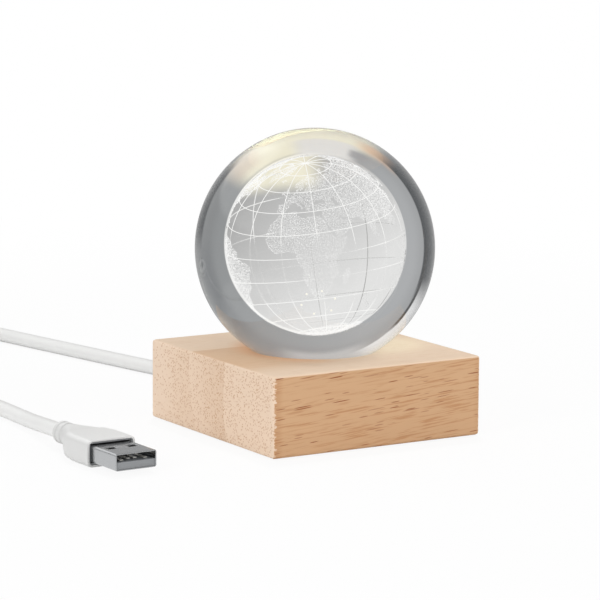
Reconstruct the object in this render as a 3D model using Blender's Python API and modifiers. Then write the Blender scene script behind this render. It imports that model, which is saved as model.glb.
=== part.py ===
"""Crystal ball lamp: a glass ball in a square wooden base, lit from below, on a lead with a flat plug.

Everything is in metres, +Z up. The origin is on the table, under the middle of the base. The base's
long-grain front looks along -Y, its end grain along -X, and the lead leaves its back along +Y.
"""

import math

import bmesh
import bpy
import numpy as np
from mathutils import Matrix, Vector

MM = 0.001

# Clearances
SEAT_GAP = 0.3 * MM
SOLDER_GAP = 0.1 * MM
SNUG_GAP = 0.15 * MM
CUT_OVERRUN = 1.0 * MM
MERGE_DISTANCE = 0.001 * MM

# Glass ball
BALL_DIAMETER = 65.0 * MM
BALL_SINK = 5.2 * MM

# Globe engraved inside the ball: its graticule, and the hair channel that opens the lines to the outside
GLOBE_RADIUS = 16.2 * MM
GLOBE_OFFSET = Vector((0.26, 0.28, 0.46)) * MM
GLOBE_LEAN = (math.radians(-3.5), math.radians(-6.5), math.radians(-0.1))
GRATICULE_LINE = 0.3 * MM
MERIDIANS = 20
PARALLEL_STEPS = 10
HAIR_RADIUS = 0.25 * MM

# Wooden base and what is cut into it. The ball gives its width, and what lies under the ball its height
BASE_EDGE_ROUND = 0.8 * MM
WELL_RADIUS = 12.0 * MM
LIGHT_GAP = 2.0 * MM

# Rubber feet
FOOT_RADIUS = 3.5 * MM
FOOT_THICKNESS = 1.5 * MM
FOOT_STANDOFF = 0.25 * MM
FOOT_EDGE_INSET = 5.4 * MM
FOOT_EDGE_ROUND = 0.3 * MM

# Light board
BOARD_RIM = 5.5 * MM
BOARD_THICKNESS = 1.6 * MM
BOARD_CLEARANCE = 1.5 * MM
LED_COUNT = 6
LED_RING_RADIUS = 7.5 * MM
LED_LENGTH = 3.5 * MM
LED_WIDTH = 2.8 * MM
LED_HEIGHT = 1.9 * MM
LED_RIM = 0.5 * MM
LED_DISH = 0.25 * MM
LED_EDGE_ROUND = 0.12 * MM
RESISTOR_COUNT = 2
RESISTOR_LENGTH = 3.2 * MM
RESISTOR_WIDTH = 1.6 * MM
RESISTOR_HEIGHT = 0.6 * MM
RESISTOR_OFFSET = 6.0 * MM
RESISTOR_EDGE_ROUND = 0.1 * MM

# Bottom cover
COVER_THICKNESS = 1.6 * MM
COVER_INSET = 0.2 * MM
COVER_LEDGE = 5.4 * MM
COVER_EDGE_CHAMFER = 0.3 * MM

# Screws: two hold the board, four hold the cover
SCREW_SHANK_RADIUS = 0.9 * MM
SCREW_HEAD_RADIUS = 1.7 * MM
SCREW_HEAD_HEIGHT = 1.2 * MM
SCREW_TIP_LENGTH = 1.2 * MM
BOARD_SCREW_BITE = 4.5 * MM
COVER_SCREW_BITE = 6.0 * MM
BOARD_SCREW_COUNT = 2
COVER_SCREW_COUNT = 4

# Lead: the cord and what it passes at the base
CORD_DIAMETER = 4.2 * MM
CORD_TABLE_GAP = 0.1 * MM
BUSH_WALL = 0.7 * MM
BUSH_FLANGE_RIM = 1.2 * MM
BUSH_FLANGE_THICKNESS = 1.0 * MM
TAIL_REACH = 9.0 * MM
TAIL_HEADROOM = 1.025 * MM
STOP_TIE_THICKNESS = 1.0 * MM
STOP_TIE_WIDTH = 2.5 * MM
STOP_TIE_HEAD_LENGTH = 3.5 * MM
STOP_TIE_HEAD_HEIGHT = 3.0 * MM
WIRE_RADIUS = 0.5 * MM
WIRE_SPREAD = 0.9 * MM
WIRE_PAD_SPREAD = 3.0 * MM
WIRE_POINTS = 9

# Coil of the spare length, and its tie
COIL_CENTRE = Vector((-53.0, 181.0)) * MM
COIL_MID_RADIUS = 25.2 * MM
COIL_TURN_GAP = 0.6 * MM
COIL_TURNS = 5.5
COIL_CLIMB_TURNS = 0.5
COIL_REVERSAL_SHARE = 0.08
COIL_START_ANGLE = math.radians(15.0)
COIL_POINTS_PER_TURN = 24
TIE_ANGLE = math.radians(105.0)
TIE_HUMP_ANGLE = math.radians(40.0)
TIE_THICKNESS = 0.8 * MM
TIE_WIDTH = 4.0 * MM
TIE_GAP = 0.6 * MM
LEAST_TURN_GAP = 0.4 * MM

# Plug: shell, tongue and contacts
PLUG_MOUTH = Vector((-71.2, -29.6)) * MM
PLUG_HEADING = math.radians(-88.5)
SHELL_WIDTH = 12.0 * MM
SHELL_HEIGHT = 4.5 * MM
SHELL_WALL = 0.3 * MM
SHELL_CORNER = 0.6 * MM
SHELL_LIP = 0.12 * MM
SHELL_REACH = 12.6 * MM
SHELL_BURIED = 5.0 * MM
WINDOW_WIDTH = 2.6 * MM
WINDOW_LENGTH = 2.2 * MM
WINDOW_SPACING = 6.2 * MM
WINDOW_FROM_MOUTH = 7.4 * MM
TONGUE_HEIGHT = 1.84 * MM
TONGUE_SETBACK = 0.5 * MM
TONGUE_CHAMFER = 0.3 * MM
CONTACT_THICKNESS = 0.2 * MM
CONTACT_WIDTH = 1.0 * MM
CONTACT_LENGTH = 7.4 * MM
CONTACT_SETBACK = 0.9 * MM
CONTACT_STAGGER = 1.0 * MM
CONTACT_INNER_PITCH = 2.0 * MM
CONTACT_OUTER_PITCH = 7.0 * MM

# Plug: moulded grip
GRIP_WIDTH = 14.2 * MM
GRIP_HEIGHT = 7.2 * MM
GRIP_CORNER = 1.5 * MM
GRIP_STRAIGHT_LENGTH = 9.0 * MM
GRIP_BODY_LENGTH = 13.2 * MM
GRIP_TAPER_LENGTH = 8.4 * MM
GRIP_NECK_LENGTH = 4.9 * MM
GRIP_EDGE_ROUND = 0.35 * MM
GRIP_RIM = 0.6 * MM
GRIP_RECESS_DEPTH = 1.2 * MM
GRIP_TABLE_GAP = 0.1 * MM
NECK_WALL = 0.95 * MM
NECK_RISE = 0.5 * MM
GROOVE_WIDTH = 0.6 * MM
GROOVE_DEPTH = 0.4 * MM
GROOVE_SPACING = 2.3 * MM
# How far the grip has gone from its shoulders to its neck, and from the body's size to the neck's
TAPER_SHARES = (
    # along, width, height, corner, rise
    (0.0, 0.08, 0.0, 0.50, 0.0),
    (0.10, 0.16, 0.40, 0.58, 0.04),
    (0.27, 0.33, 0.50, 0.70, 0.22),
    (0.45, 0.52, 0.62, 0.84, 0.45),
    (0.63, 0.71, 0.76, 0.95, 0.68),
    (0.81, 0.88, 0.90, 1.0, 0.88),
)

# Facets
BALL_SEGMENTS = 56
BOWL_STEPS = 6
ROUND_SEGMENTS = 48
SMALL_SEGMENTS = 16
HAIR_SEGMENTS = 8
CORNER_POINTS = 6
EDGE_SEGMENTS = 2
TUBE_RESOLUTION = 2
COIL_RESOLUTION = 1
WIRE_RESOLUTION = 1
ROUTE_SAMPLES = 24
ROUTE_STEP_DIAMETERS = 2.5
# Half a facet, so that no corner of a small hole lies on an edge of the round face that it is cut through
HALF_FACET_TURN = (0, 0, math.pi / SMALL_SEGMENTS)

# Radii and heights worked out from the sizes above, from the table up
BALL_RADIUS = BALL_DIAMETER / 2
BOWL_RADIUS = BALL_RADIUS + SEAT_GAP
BASE_WIDTH = BALL_DIAMETER
BACK_FACE = BASE_WIDTH / 2
CORD_RADIUS = CORD_DIAMETER / 2
BOARD_RADIUS = WELL_RADIUS + BOARD_RIM
POCKET_RADIUS = BOARD_RADIUS + BOARD_CLEARANCE
REBATE_RADIUS = POCKET_RADIUS + COVER_LEDGE
SCREW_HOLE_RADIUS = SCREW_SHANK_RADIUS + SEAT_GAP
BUSH_BORE_RADIUS = CORD_RADIUS + SEAT_GAP
BUSH_RADIUS = BUSH_BORE_RADIUS + BUSH_WALL
BUSH_INNER_END = math.sqrt(POCKET_RADIUS**2 - BUSH_RADIUS**2) + SEAT_GAP
STOP_TIE_RADIUS = BUSH_BORE_RADIUS + STOP_TIE_THICKNESS
STOP_TIE_HEAD_INNER = BUSH_BORE_RADIUS + STOP_TIE_THICKNESS / 2
STOP_TIE_REACH = STOP_TIE_HEAD_INNER + STOP_TIE_HEAD_HEIGHT
STOP_TIE_BACK = math.sqrt(POCKET_RADIUS**2 - STOP_TIE_REACH**2) - SEAT_GAP
TAIL_OUTER_END = BACK_FACE - SEAT_GAP
COVER_BOTTOM = FOOT_STANDOFF + COVER_INSET
COVER_TOP = COVER_BOTTOM + COVER_THICKNESS
LEDGE = COVER_TOP + SEAT_GAP
CORD_EXIT_Z = LEDGE + TAIL_HEADROOM + STOP_TIE_RADIUS
BOARD_BOTTOM = CORD_EXIT_Z + STOP_TIE_RADIUS + TAIL_HEADROOM
BOARD_TOP = BOARD_BOTTOM + BOARD_THICKNESS
POCKET_ROOF = BOARD_TOP + SEAT_GAP
BALL_BOTTOM = BOARD_TOP + SOLDER_GAP + LED_HEIGHT + LIGHT_GAP
BALL_CENTRE = Vector((0, 0, BALL_BOTTOM + BALL_RADIUS))
BASE_TOP = BALL_BOTTOM + BALL_SINK
BASE_HEIGHT = BASE_TOP - FOOT_STANDOFF
CORD_REST_Z = CORD_TABLE_GAP + CORD_RADIUS
PLUG_CENTRE_Z = GRIP_TABLE_GAP + GRIP_HEIGHT / 2
COIL_PITCH = CORD_DIAMETER + COIL_TURN_GAP
COIL_INNER_RADIUS = COIL_MID_RADIUS - COIL_PITCH * COIL_TURNS / 4
TIE_LIFT = TIE_THICKNESS + TIE_GAP

# The cord's route over the table, from the back of the base to the coil and from the coil to the plug.
# A station is (x, y) in millimetres, then the shares of the first end's and last end's height that it keeps.
LAMP_STATIONS = (
    (0.0, 41.0, 0.98, 0.0),
    (0.0, 50.0, 0.81, 0.0),
    (0.0, 59.0, 0.56, 0.0),
    (-0.1, 68.5, 0.29, 0.0),
    (-0.5, 78.5, 0.09, 0.0),
    (-1.7, 89.4, 0.0, 0.0),
    (-4.5, 102.7, 0.0, 0.0),
    (-7.3, 116.7, 0.0, 0.0),
    (-10.1, 131.0, 0.0, 0.0),
    (-13.0, 145.6, 0.0, 0.0),
    (-15.8, 160.4, 0.0, 0.0),
    (-18.3, 172.8, 0.0, 0.0),
)
PLUG_STATIONS = (
    (-79.9, 158.0, 0.83, 0.0),
    (-77.0, 146.0, 0.44, 0.0),
    (-74.2, 133.0, 0.10, 0.0),
    (-71.6, 118.0, 0.0, 0.0),
    (-69.6, 102.0, 0.0, 0.0),
    (-68.4, 86.0, 0.0, 0.0),
    (-67.8, 70.0, 0.0, 0.0),
    (-67.7, 55.1, 0.0, 0.0),
    (-67.9, 47.2, 0.0, 0.0),
    (-68.5, 39.0, 0.0, 0.06),
    (-69.5, 30.0, 0.0, 0.27),
    (-71.0, 20.3, 0.0, 0.70),
)

# Colour, roughness and metallic value of each finish
FINISHES = {
    "crystal": ((0.95, 0.97, 0.98), 0.02, 0.0),
    "beech": ((0.80, 0.58, 0.40), 0.55, 0.0),
    "rubber": ((0.04, 0.04, 0.04), 0.80, 0.0),
    "cover_board": ((0.05, 0.05, 0.05), 0.60, 0.0),
    "screw_steel": ((0.55, 0.56, 0.58), 0.35, 1.0),
    "white_laminate": ((0.85, 0.86, 0.84), 0.45, 0.0),
    "lamp_body": ((0.90, 0.88, 0.78), 0.40, 0.0),
    "resistor_body": ((0.03, 0.03, 0.03), 0.50, 0.0),
    "cord_jacket": ((0.82, 0.82, 0.80), 0.45, 0.0),
    "red_insulation": ((0.60, 0.03, 0.02), 0.45, 0.0),
    "black_insulation": ((0.02, 0.02, 0.02), 0.45, 0.0),
    "nylon_tie": ((0.80, 0.80, 0.78), 0.40, 0.0),
    "strap": ((0.10, 0.10, 0.10), 0.80, 0.0),
    "plug_plastic": ((0.82, 0.82, 0.80), 0.40, 0.0),
    "shell_steel": ((0.62, 0.63, 0.64), 0.28, 1.0),
    "tongue_plastic": ((0.45, 0.46, 0.47), 0.50, 0.0),
    "contact_gold": ((0.80, 0.62, 0.28), 0.25, 1.0),
}

parts = None
cutters = None


def start_clean():
    """Removes what the scene holds and makes the collections for the parts and for the cutters."""
    global parts, cutters
    for held in list(bpy.data.objects):
        bpy.data.objects.remove(held, do_unlink=True)
    parts = bpy.data.collections.new("crystal_ball_lamp")
    cutters = bpy.data.collections.new("crystal_ball_lamp_cutters")
    for group in (parts, cutters):
        bpy.context.scene.collection.children.link(group)


def finish(name):
    """The material of a finish, made when it is first asked for."""
    made = bpy.data.materials.get(name)
    if made is None:
        colour, roughness, metallic = FINISHES[name]
        made = bpy.data.materials.new(name)
        made.use_nodes = True
        shader = made.node_tree.nodes["Principled BSDF"]
        shader.inputs["Base Color"].default_value = (*colour, 1.0)
        shader.inputs["Roughness"].default_value = roughness
        shader.inputs["Metallic"].default_value = metallic
    return made


def flatten_shading():
    """Ends each part's modifiers with weighted normals, so that its flat faces look flat."""
    for part in parts.objects:
        if part.type == "MESH":
            part.modifiers.new("even shading", "WEIGHTED_NORMAL").keep_sharp = True


def place(name, data, finish_name, parent=None):
    """Adds a part, or a cutter where no finish is named."""
    made = bpy.data.objects.new(name, data)
    if finish_name:
        data.materials.append(finish(finish_name))
        parts.objects.link(made)
    else:
        made.hide_render = True
        made.display_type = "WIRE"
        cutters.objects.link(made)
    made.parent = parent
    return made


def as_mesh(name, shape):
    """Turns a bmesh into a smooth-shaded mesh with sharp edges kept, faces out."""
    bmesh.ops.recalc_face_normals(shape, faces=shape.faces)
    mesh = bpy.data.meshes.new(name)
    shape.to_mesh(mesh)
    shape.free()
    mesh.shade_smooth()
    mesh.set_sharp_from_angle(angle=math.radians(30.0))
    return mesh


def turned(name, profile, finish_name=None, segments=ROUND_SEGMENTS, parent=None):
    """Turns a profile of (radius, height) points about Z. It runs down the outer side, top to bottom."""
    mesh = bpy.data.meshes.new(name)
    edges = [(k, k + 1) for k in range(len(profile) - 1)]
    mesh.from_pydata([(radius, 0, height) for radius, height in profile], edges, [])
    made = place(name, mesh, finish_name, parent)
    spin = made.modifiers.new("turned", "SCREW")
    spin.steps = segments
    spin.render_steps = segments
    spin.use_merge_vertices = True
    spin.merge_threshold = MERGE_DISTANCE
    return made


def ring_profile(inner, outer, bottom, top):
    """Closed profile of a plain ring, starting at its outer top edge."""
    return [(outer, top), (outer, bottom), (inner, bottom), (inner, top), (outer, top)]


def disc_profile(radius, bottom, top):
    """Profile of a plain disc."""
    return [(0, top), (radius, top), (radius, bottom), (0, bottom)]


def block(name, size, centre, finish_name=None, edge_round=0, parent=None):
    """A box of the given size, with its edges rounded where a radius is given."""
    shape = bmesh.new()
    bmesh.ops.create_cube(shape, size=1)
    bmesh.ops.scale(shape, vec=size, verts=shape.verts)
    bmesh.ops.translate(shape, vec=centre, verts=shape.verts)
    made = place(name, as_mesh(name, shape), finish_name, parent)
    if edge_round:
        round_edges(made, edge_round)
    return made


def round_edges(made, radius, segments=EDGE_SEGMENTS):
    """Rounds every edge of a piece with a Bevel modifier."""
    bevel = made.modifiers.new("rounded edges", "BEVEL")
    bevel.width = radius
    bevel.segments = segments
    bevel.limit_method = "ANGLE"


def cut(piece, cutter, operation="DIFFERENCE"):
    """Cuts a piece with a cutter, or joins the cutter to it."""
    boolean = piece.modifiers.new(cutter.name, "BOOLEAN")
    boolean.object = cutter
    boolean.operation = operation
    boolean.solver = "EXACT"


def rounded_outline(half_width, half_height, corner):
    """Outline of a rectangle with round corners, as (across, up) points, anticlockwise."""
    corners = ((1, 1, 0), (-1, 1, 1), (-1, -1, 2), (1, -1, 3))
    outline = []
    for side, level, quarter in corners:
        for k in range(CORNER_POINTS):
            angle = (quarter + k / (CORNER_POINTS - 1)) * math.pi / 2
            across = side * (half_width - corner) + corner * math.cos(angle)
            up = level * (half_height - corner) + corner * math.sin(angle)
            outline.append((across, up))
    return outline


def lofted(name, sections, finish_name=None, parent=None):
    """Skins rounded rectangles along X: (along, half width, half height, corner radius, rise) each."""
    shape = bmesh.new()
    rings = []
    for along, half_width, half_height, corner, rise in sections:
        outline = rounded_outline(half_width, half_height, corner)
        rings.append([shape.verts.new((along, across, up + rise)) for across, up in outline])
    for ring, following in zip(rings, rings[1:]):
        for k, vertex in enumerate(ring):
            near = ring[k - 1]
            shape.faces.new((near, vertex, following[k], following[k - 1]))
    shape.faces.new(rings[0])
    shape.faces.new(rings[-1])
    return place(name, as_mesh(name, shape), finish_name, parent)


def catmull_rom(before, near, far, after, share):
    """A point between near and far on the smooth curve through four points."""
    bend = before * -1 + near * 3 - far * 3 + after
    swing = before * 2 - near * 5 + far * 4 - after
    return near + (far - before) * (share / 2) + swing * (share**2 / 2) + bend * (share**3 / 2)


def respaced(points, step):
    """Points the same distance apart along a fine polyline, with its two ends kept."""
    line = np.array([tuple(point) for point in points])
    along = np.concatenate([[0], np.cumsum(np.linalg.norm(np.diff(line, axis=0), axis=1))])
    stops = np.linspace(0, along[-1], round(along[-1] / step) + 1)
    return [Vector([float(np.interp(stop, along, line[:, axis])) for axis in range(3)]) for stop in stops]


def smooth_route(stations, start_heading, end_heading):
    """Points along the smooth curve through the stations, which it leaves and meets along the headings."""
    first = stations[0] - start_heading * (stations[1] - stations[0]).length
    last = stations[-1] + end_heading * (stations[-1] - stations[-2]).length
    padded = [first, *stations, last]
    fine = []
    for near_four in zip(padded, padded[1:], padded[2:], padded[3:]):
        fine += [catmull_rom(*near_four, k / ROUTE_SAMPLES) for k in range(ROUTE_SAMPLES)]
    fine.append(stations[-1])
    return respaced(fine, ROUTE_STEP_DIAMETERS * CORD_DIAMETER)


def route_between(start, stations, end, start_heading, end_heading):
    """Points along the cord from one end, over the stations on the table, to the other end."""
    places = [start]
    for x, y, start_share, end_share in stations:
        height = CORD_REST_Z + start_share * (start.z - CORD_REST_Z) + end_share * (end.z - CORD_REST_Z)
        places.append(Vector((x * MM, y * MM, height)))
    return smooth_route([*places, end], start_heading, end_heading)


def tube(name, points, radius, finish_name, resolution=TUBE_RESOLUTION):
    """A round tube along the points, with its ends closed."""
    curve = bpy.data.curves.new(name, "CURVE")
    curve.dimensions = "3D"
    curve.bevel_depth = radius
    curve.bevel_resolution = resolution
    curve.use_fill_caps = True
    spline = curve.splines.new("POLY")
    spline.points.add(len(points) - 1)
    for control, point in zip(spline.points, points):
        control.co = (*point, 1)
    return place(name, curve, finish_name)


def route_length(points):
    """Length of a polyline."""
    return sum((far - near).length for near, far in zip(points, points[1:]))


def around(count, radius, height, start_angle=0):
    """Places evenly spaced on a circle about Z, each with its angle."""
    for k in range(count):
        angle = start_angle + math.tau * k / count
        yield k + 1, angle, Vector((radius * math.cos(angle), radius * math.sin(angle), height))


def make_ball():
    """The glass ball, solid, with its origin at its centre on the axis that it lifts along."""
    shape = bmesh.new()
    rings = BALL_SEGMENTS // 2
    bmesh.ops.create_uvsphere(shape, u_segments=BALL_SEGMENTS, v_segments=rings, radius=BALL_RADIUS)
    ball = place("crystal_ball", as_mesh("crystal_ball", shape), "crystal")
    ball.location = BALL_CENTRE
    engrave_globe(ball)


def engrave_globe(ball):
    """Cuts the globe's graticule inside the ball, and a hair channel that leads down out of the glass."""
    shape = bmesh.new()
    bmesh.ops.create_uvsphere(shape, u_segments=MERIDIANS, v_segments=PARALLEL_STEPS, radius=GLOBE_RADIUS)
    graticule = place("graticule_cutter", as_mesh("graticule_cutter", shape), None)
    lines = graticule.modifiers.new("lines", "WIREFRAME")
    lines.thickness = GRATICULE_LINE
    hair_profile = disc_profile(HAIR_RADIUS, -BALL_RADIUS - CUT_OVERRUN, -GLOBE_RADIUS)
    hair = turned("hair_channel_cutter", hair_profile, segments=HAIR_SEGMENTS)
    for cutter in (graticule, hair):
        cutter.location = BALL_CENTRE + GLOBE_OFFSET
        cutter.rotation_euler = GLOBE_LEAN
        cut(ball, cutter)


def bowl_height(radius):
    """Height of the bowl's surface at a distance from the lamp's axis."""
    return BALL_CENTRE.z - math.sqrt(BOWL_RADIUS**2 - radius**2)


def make_base():
    """The wooden block, cut for the ball and its light, the board, the cover, the feet and the lead."""
    height = Vector((0, 0, FOOT_STANDOFF + BASE_HEIGHT / 2))
    size = (BASE_WIDTH, BASE_WIDTH, BASE_HEIGHT)
    base = block("wooden_base", size, height, "beech", BASE_EDGE_ROUND)

    above = BASE_TOP + CUT_OVERRUN
    widest = math.sqrt(BOWL_RADIUS**2 - (BALL_CENTRE.z - above) ** 2)
    bowl = [(0, above), (widest, above)]
    for k in range(1, BOWL_STEPS + 1):
        radius = widest + (WELL_RADIUS - widest) * k / BOWL_STEPS
        bowl.append((radius, bowl_height(radius)))
    below_roof = POCKET_ROOF - CUT_OVERRUN
    bowl += [(WELL_RADIUS, below_roof), (0, below_roof)]
    cut(base, turned("bowl_and_well_cutter", bowl, segments=BALL_SEGMENTS))

    under = FOOT_STANDOFF - CUT_OVERRUN
    pocket = [(0, POCKET_ROOF), (POCKET_RADIUS, POCKET_ROOF), (POCKET_RADIUS, LEDGE), (REBATE_RADIUS, LEDGE)]
    pocket += [(REBATE_RADIUS, under), (0, under)]
    cut(base, turned("pocket_and_rebate_cutter", pocket))

    foot_hole = disc_profile(FOOT_RADIUS + SEAT_GAP, under, FOOT_THICKNESS + SEAT_GAP)
    for number, corner in enumerate(foot_corners(), 1):
        hole = turned(f"foot_cutter_{number}", foot_hole, segments=SMALL_SEGMENTS)
        hole.location = corner
        cut(base, hole)

    screw_sets = (
        ("cover", cover_screw_places(), LEDGE, COVER_SCREW_BITE),
        ("board", board_screw_places(), POCKET_ROOF, BOARD_SCREW_BITE),
    )
    for use, places, face, bite in screw_sets:
        hole_profile = disc_profile(SCREW_HOLE_RADIUS, face - CUT_OVERRUN, face + bite + SEAT_GAP)
        for number, _, at in places:
            hole = turned(f"{use}_screw_cutter_{number}", hole_profile, segments=SMALL_SEGMENTS)
            hole.location = (at.x, at.y, 0)
            hole.rotation_euler = HALF_FACET_TURN
            cut(base, hole)

    inner_end = POCKET_RADIUS - BOARD_CLEARANCE
    lead_hole = disc_profile(BUSH_RADIUS + SEAT_GAP, inner_end, BACK_FACE + CUT_OVERRUN)
    cut(base, facing_back(turned("lead_hole_cutter", lead_hole, segments=ROUND_SEGMENTS // 2)))


def facing_back(made):
    """Turns a piece made about Z so that its Z points along +Y, on the lead's line."""
    made.rotation_euler = (-math.pi / 2, 0, 0)
    made.location = (0, 0, CORD_EXIT_Z)
    return made


def foot_corners():
    """The four places of the feet on the table."""
    reach = BASE_WIDTH / 2 - FOOT_EDGE_INSET
    return [Vector((x * reach, y * reach, 0)) for x, y in ((1, 1), (-1, 1), (-1, -1), (1, -1))]


def make_feet():
    """Rubber discs set into the underside."""
    profile = [(0, FOOT_THICKNESS), (FOOT_RADIUS, FOOT_THICKNESS), (FOOT_RADIUS, FOOT_EDGE_ROUND)]
    profile += [(FOOT_RADIUS - FOOT_EDGE_ROUND, 0), (0, 0)]
    for number, corner in enumerate(foot_corners(), 1):
        turned(f"foot_{number}", profile, "rubber", SMALL_SEGMENTS * 2).location = corner


def cover_screw_places():
    """Numbers, angles and places of the cover's screws, on the diagonals at the middle of the ledge."""
    radius = POCKET_RADIUS + COVER_LEDGE / 2
    return around(COVER_SCREW_COUNT, radius, COVER_BOTTOM, math.pi / COVER_SCREW_COUNT)


def board_screw_places():
    """Numbers, angles and places of the board's screws, at the middle of its rim."""
    return around(BOARD_SCREW_COUNT, WELL_RADIUS + BOARD_RIM / 2, BOARD_BOTTOM)


def make_cover():
    """The disc under the pocket, with countersunk holes, and its four screws."""
    edge = COVER_EDGE_CHAMFER
    radius = REBATE_RADIUS - SEAT_GAP
    profile = [(0, COVER_TOP), (radius, COVER_TOP), (radius, COVER_BOTTOM + edge)]
    profile += [(radius - edge, COVER_BOTTOM), (0, COVER_BOTTOM)]
    cover = turned("bottom_cover", profile, "cover_board")

    sunk = SCREW_HEAD_HEIGHT
    widened = SCREW_HEAD_RADIUS + SEAT_GAP
    hole_profile = [(0, COVER_THICKNESS + CUT_OVERRUN), (SCREW_HOLE_RADIUS, COVER_THICKNESS + CUT_OVERRUN)]
    hole_profile += [(SCREW_HOLE_RADIUS, sunk), (widened, 0), (widened, -CUT_OVERRUN), (0, -CUT_OVERRUN)]
    tip = LEDGE - COVER_BOTTOM + COVER_SCREW_BITE
    screw_profile = [(0, tip), (SCREW_SHANK_RADIUS, tip - SCREW_TIP_LENGTH), (SCREW_SHANK_RADIUS, sunk)]
    screw_profile += [(SCREW_HEAD_RADIUS, 0), (0, 0)]
    for number, _, at in cover_screw_places():
        hole = turned(f"cover_hole_cutter_{number}", hole_profile, segments=SMALL_SEGMENTS)
        hole.location = at
        hole.rotation_euler = HALF_FACET_TURN
        cut(cover, hole)
        turned(f"cover_screw_{number}", screw_profile, "screw_steel", SMALL_SEGMENTS).location = at


def make_board():
    """The round light board under the well, its screws, its six lights and its resistors."""
    board = turned("led_board", disc_profile(BOARD_RADIUS, BOARD_BOTTOM, BOARD_TOP), "white_laminate")
    hole_profile = disc_profile(SCREW_HOLE_RADIUS, -CUT_OVERRUN, BOARD_THICKNESS + CUT_OVERRUN)
    head_top = -SEAT_GAP
    head_bottom = head_top - SCREW_HEAD_HEIGHT
    tip = POCKET_ROOF - BOARD_BOTTOM + BOARD_SCREW_BITE
    screw_profile = [(0, tip), (SCREW_SHANK_RADIUS, tip - SCREW_TIP_LENGTH), (SCREW_SHANK_RADIUS, head_top)]
    screw_profile += [(SCREW_HEAD_RADIUS, head_top), (SCREW_HEAD_RADIUS, (head_top + head_bottom) / 2)]
    screw_profile += [(SCREW_SHANK_RADIUS, head_bottom), (0, head_bottom)]
    for number, _, at in board_screw_places():
        hole = turned(f"board_hole_cutter_{number}", hole_profile, segments=SMALL_SEGMENTS)
        hole.location = at
        hole.rotation_euler = HALF_FACET_TURN
        cut(board, hole)
        turned(f"board_screw_{number}", screw_profile, "screw_steel", SMALL_SEGMENTS).location = at

    for number, angle, at in around(LED_COUNT, LED_RING_RADIUS, BOARD_TOP + SOLDER_GAP):
        light = place(f"led_{number}", light_mesh(), "lamp_body")
        light.location = at
        light.rotation_euler = (0, 0, angle + math.pi / 2)
        round_edges(light, LED_EDGE_ROUND)

    size = (RESISTOR_LENGTH, RESISTOR_WIDTH, RESISTOR_HEIGHT)
    level = BOARD_BOTTOM - SOLDER_GAP - RESISTOR_HEIGHT / 2
    for number, _, at in around(RESISTOR_COUNT, RESISTOR_OFFSET, level):
        block(f"resistor_{number}", size, at, "resistor_body", RESISTOR_EDGE_ROUND)


def light_mesh():
    """A surface-mount light: a block whose top has a shallow dish."""
    shape = bmesh.new()
    bmesh.ops.create_cube(shape, size=1)
    bmesh.ops.scale(shape, vec=(LED_LENGTH, LED_WIDTH, LED_HEIGHT), verts=shape.verts)
    bmesh.ops.translate(shape, vec=(0, 0, LED_HEIGHT / 2), verts=shape.verts)
    top = max(shape.faces, key=lambda face: face.calc_center_median().z)
    bmesh.ops.inset_region(shape, faces=[top], thickness=LED_RIM, depth=-LED_DISH)
    return as_mesh("led", shape)


def make_lead_inside():
    """The bush in the back wall, the lead's tail inside the base, its stop tie and its two wires."""
    flange = BACK_FACE + SEAT_GAP
    flange_end = flange + BUSH_FLANGE_THICKNESS
    flange_radius = BUSH_RADIUS + BUSH_FLANGE_RIM
    profile = [(BUSH_BORE_RADIUS, flange_end), (flange_radius, flange_end), (flange_radius, flange)]
    profile += [(BUSH_RADIUS, flange), (BUSH_RADIUS, BUSH_INNER_END), (BUSH_BORE_RADIUS, BUSH_INNER_END)]
    profile.append(profile[0])
    facing_back(turned("cord_bush", profile, "plug_plastic", ROUND_SEGMENTS // 2))

    tail = [Vector((0, TAIL_OUTER_END, CORD_EXIT_Z)), Vector((0, TAIL_REACH, CORD_EXIT_Z))]
    tube("cord_tail", respaced(tail, ROUTE_STEP_DIAMETERS * CORD_DIAMETER), CORD_RADIUS, "cord_jacket")

    band = ring_profile(BUSH_BORE_RADIUS, STOP_TIE_RADIUS, STOP_TIE_BACK - STOP_TIE_WIDTH, STOP_TIE_BACK)
    tie = facing_back(turned("cord_stop_tie", band, "nylon_tie", ROUND_SEGMENTS // 2))
    head_size = (STOP_TIE_HEAD_HEIGHT, STOP_TIE_HEAD_LENGTH, STOP_TIE_WIDTH)
    head_across = STOP_TIE_REACH - STOP_TIE_HEAD_HEIGHT / 2
    head_at = Vector((head_across, 0, STOP_TIE_BACK - STOP_TIE_WIDTH / 2))
    cut(tie, facing_back(block("stop_tie_head_cutter", head_size, head_at)), "UNION")

    start = Vector((0, TAIL_REACH - SEAT_GAP, CORD_EXIT_Z))
    pad_height = BOARD_BOTTOM - SEAT_GAP
    wires = (("wire_positive", 1, "red_insulation"), ("wire_negative", -1, "black_insulation"))
    for name, side, colour in wires:
        route = []
        for k in range(WIRE_POINTS):
            quarter = k / (WIRE_POINTS - 1)
            turn = quarter * math.pi / 2
            across = side * (WIRE_SPREAD + (WIRE_PAD_SPREAD - WIRE_SPREAD) * quarter)
            back = start.y * (1 - math.sin(turn))
            up = start.z + (pad_height - start.z) * (1 - math.cos(turn))
            route.append(Vector((across, back, up)))
        tube(name, route, WIRE_RADIUS, colour, WIRE_RESOLUTION)


def smooth_step(share):
    """Rises from 0 to 1 with level ends."""
    held = min(max(share, 0), 1)
    return held * held * (3 - 2 * held)


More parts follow.
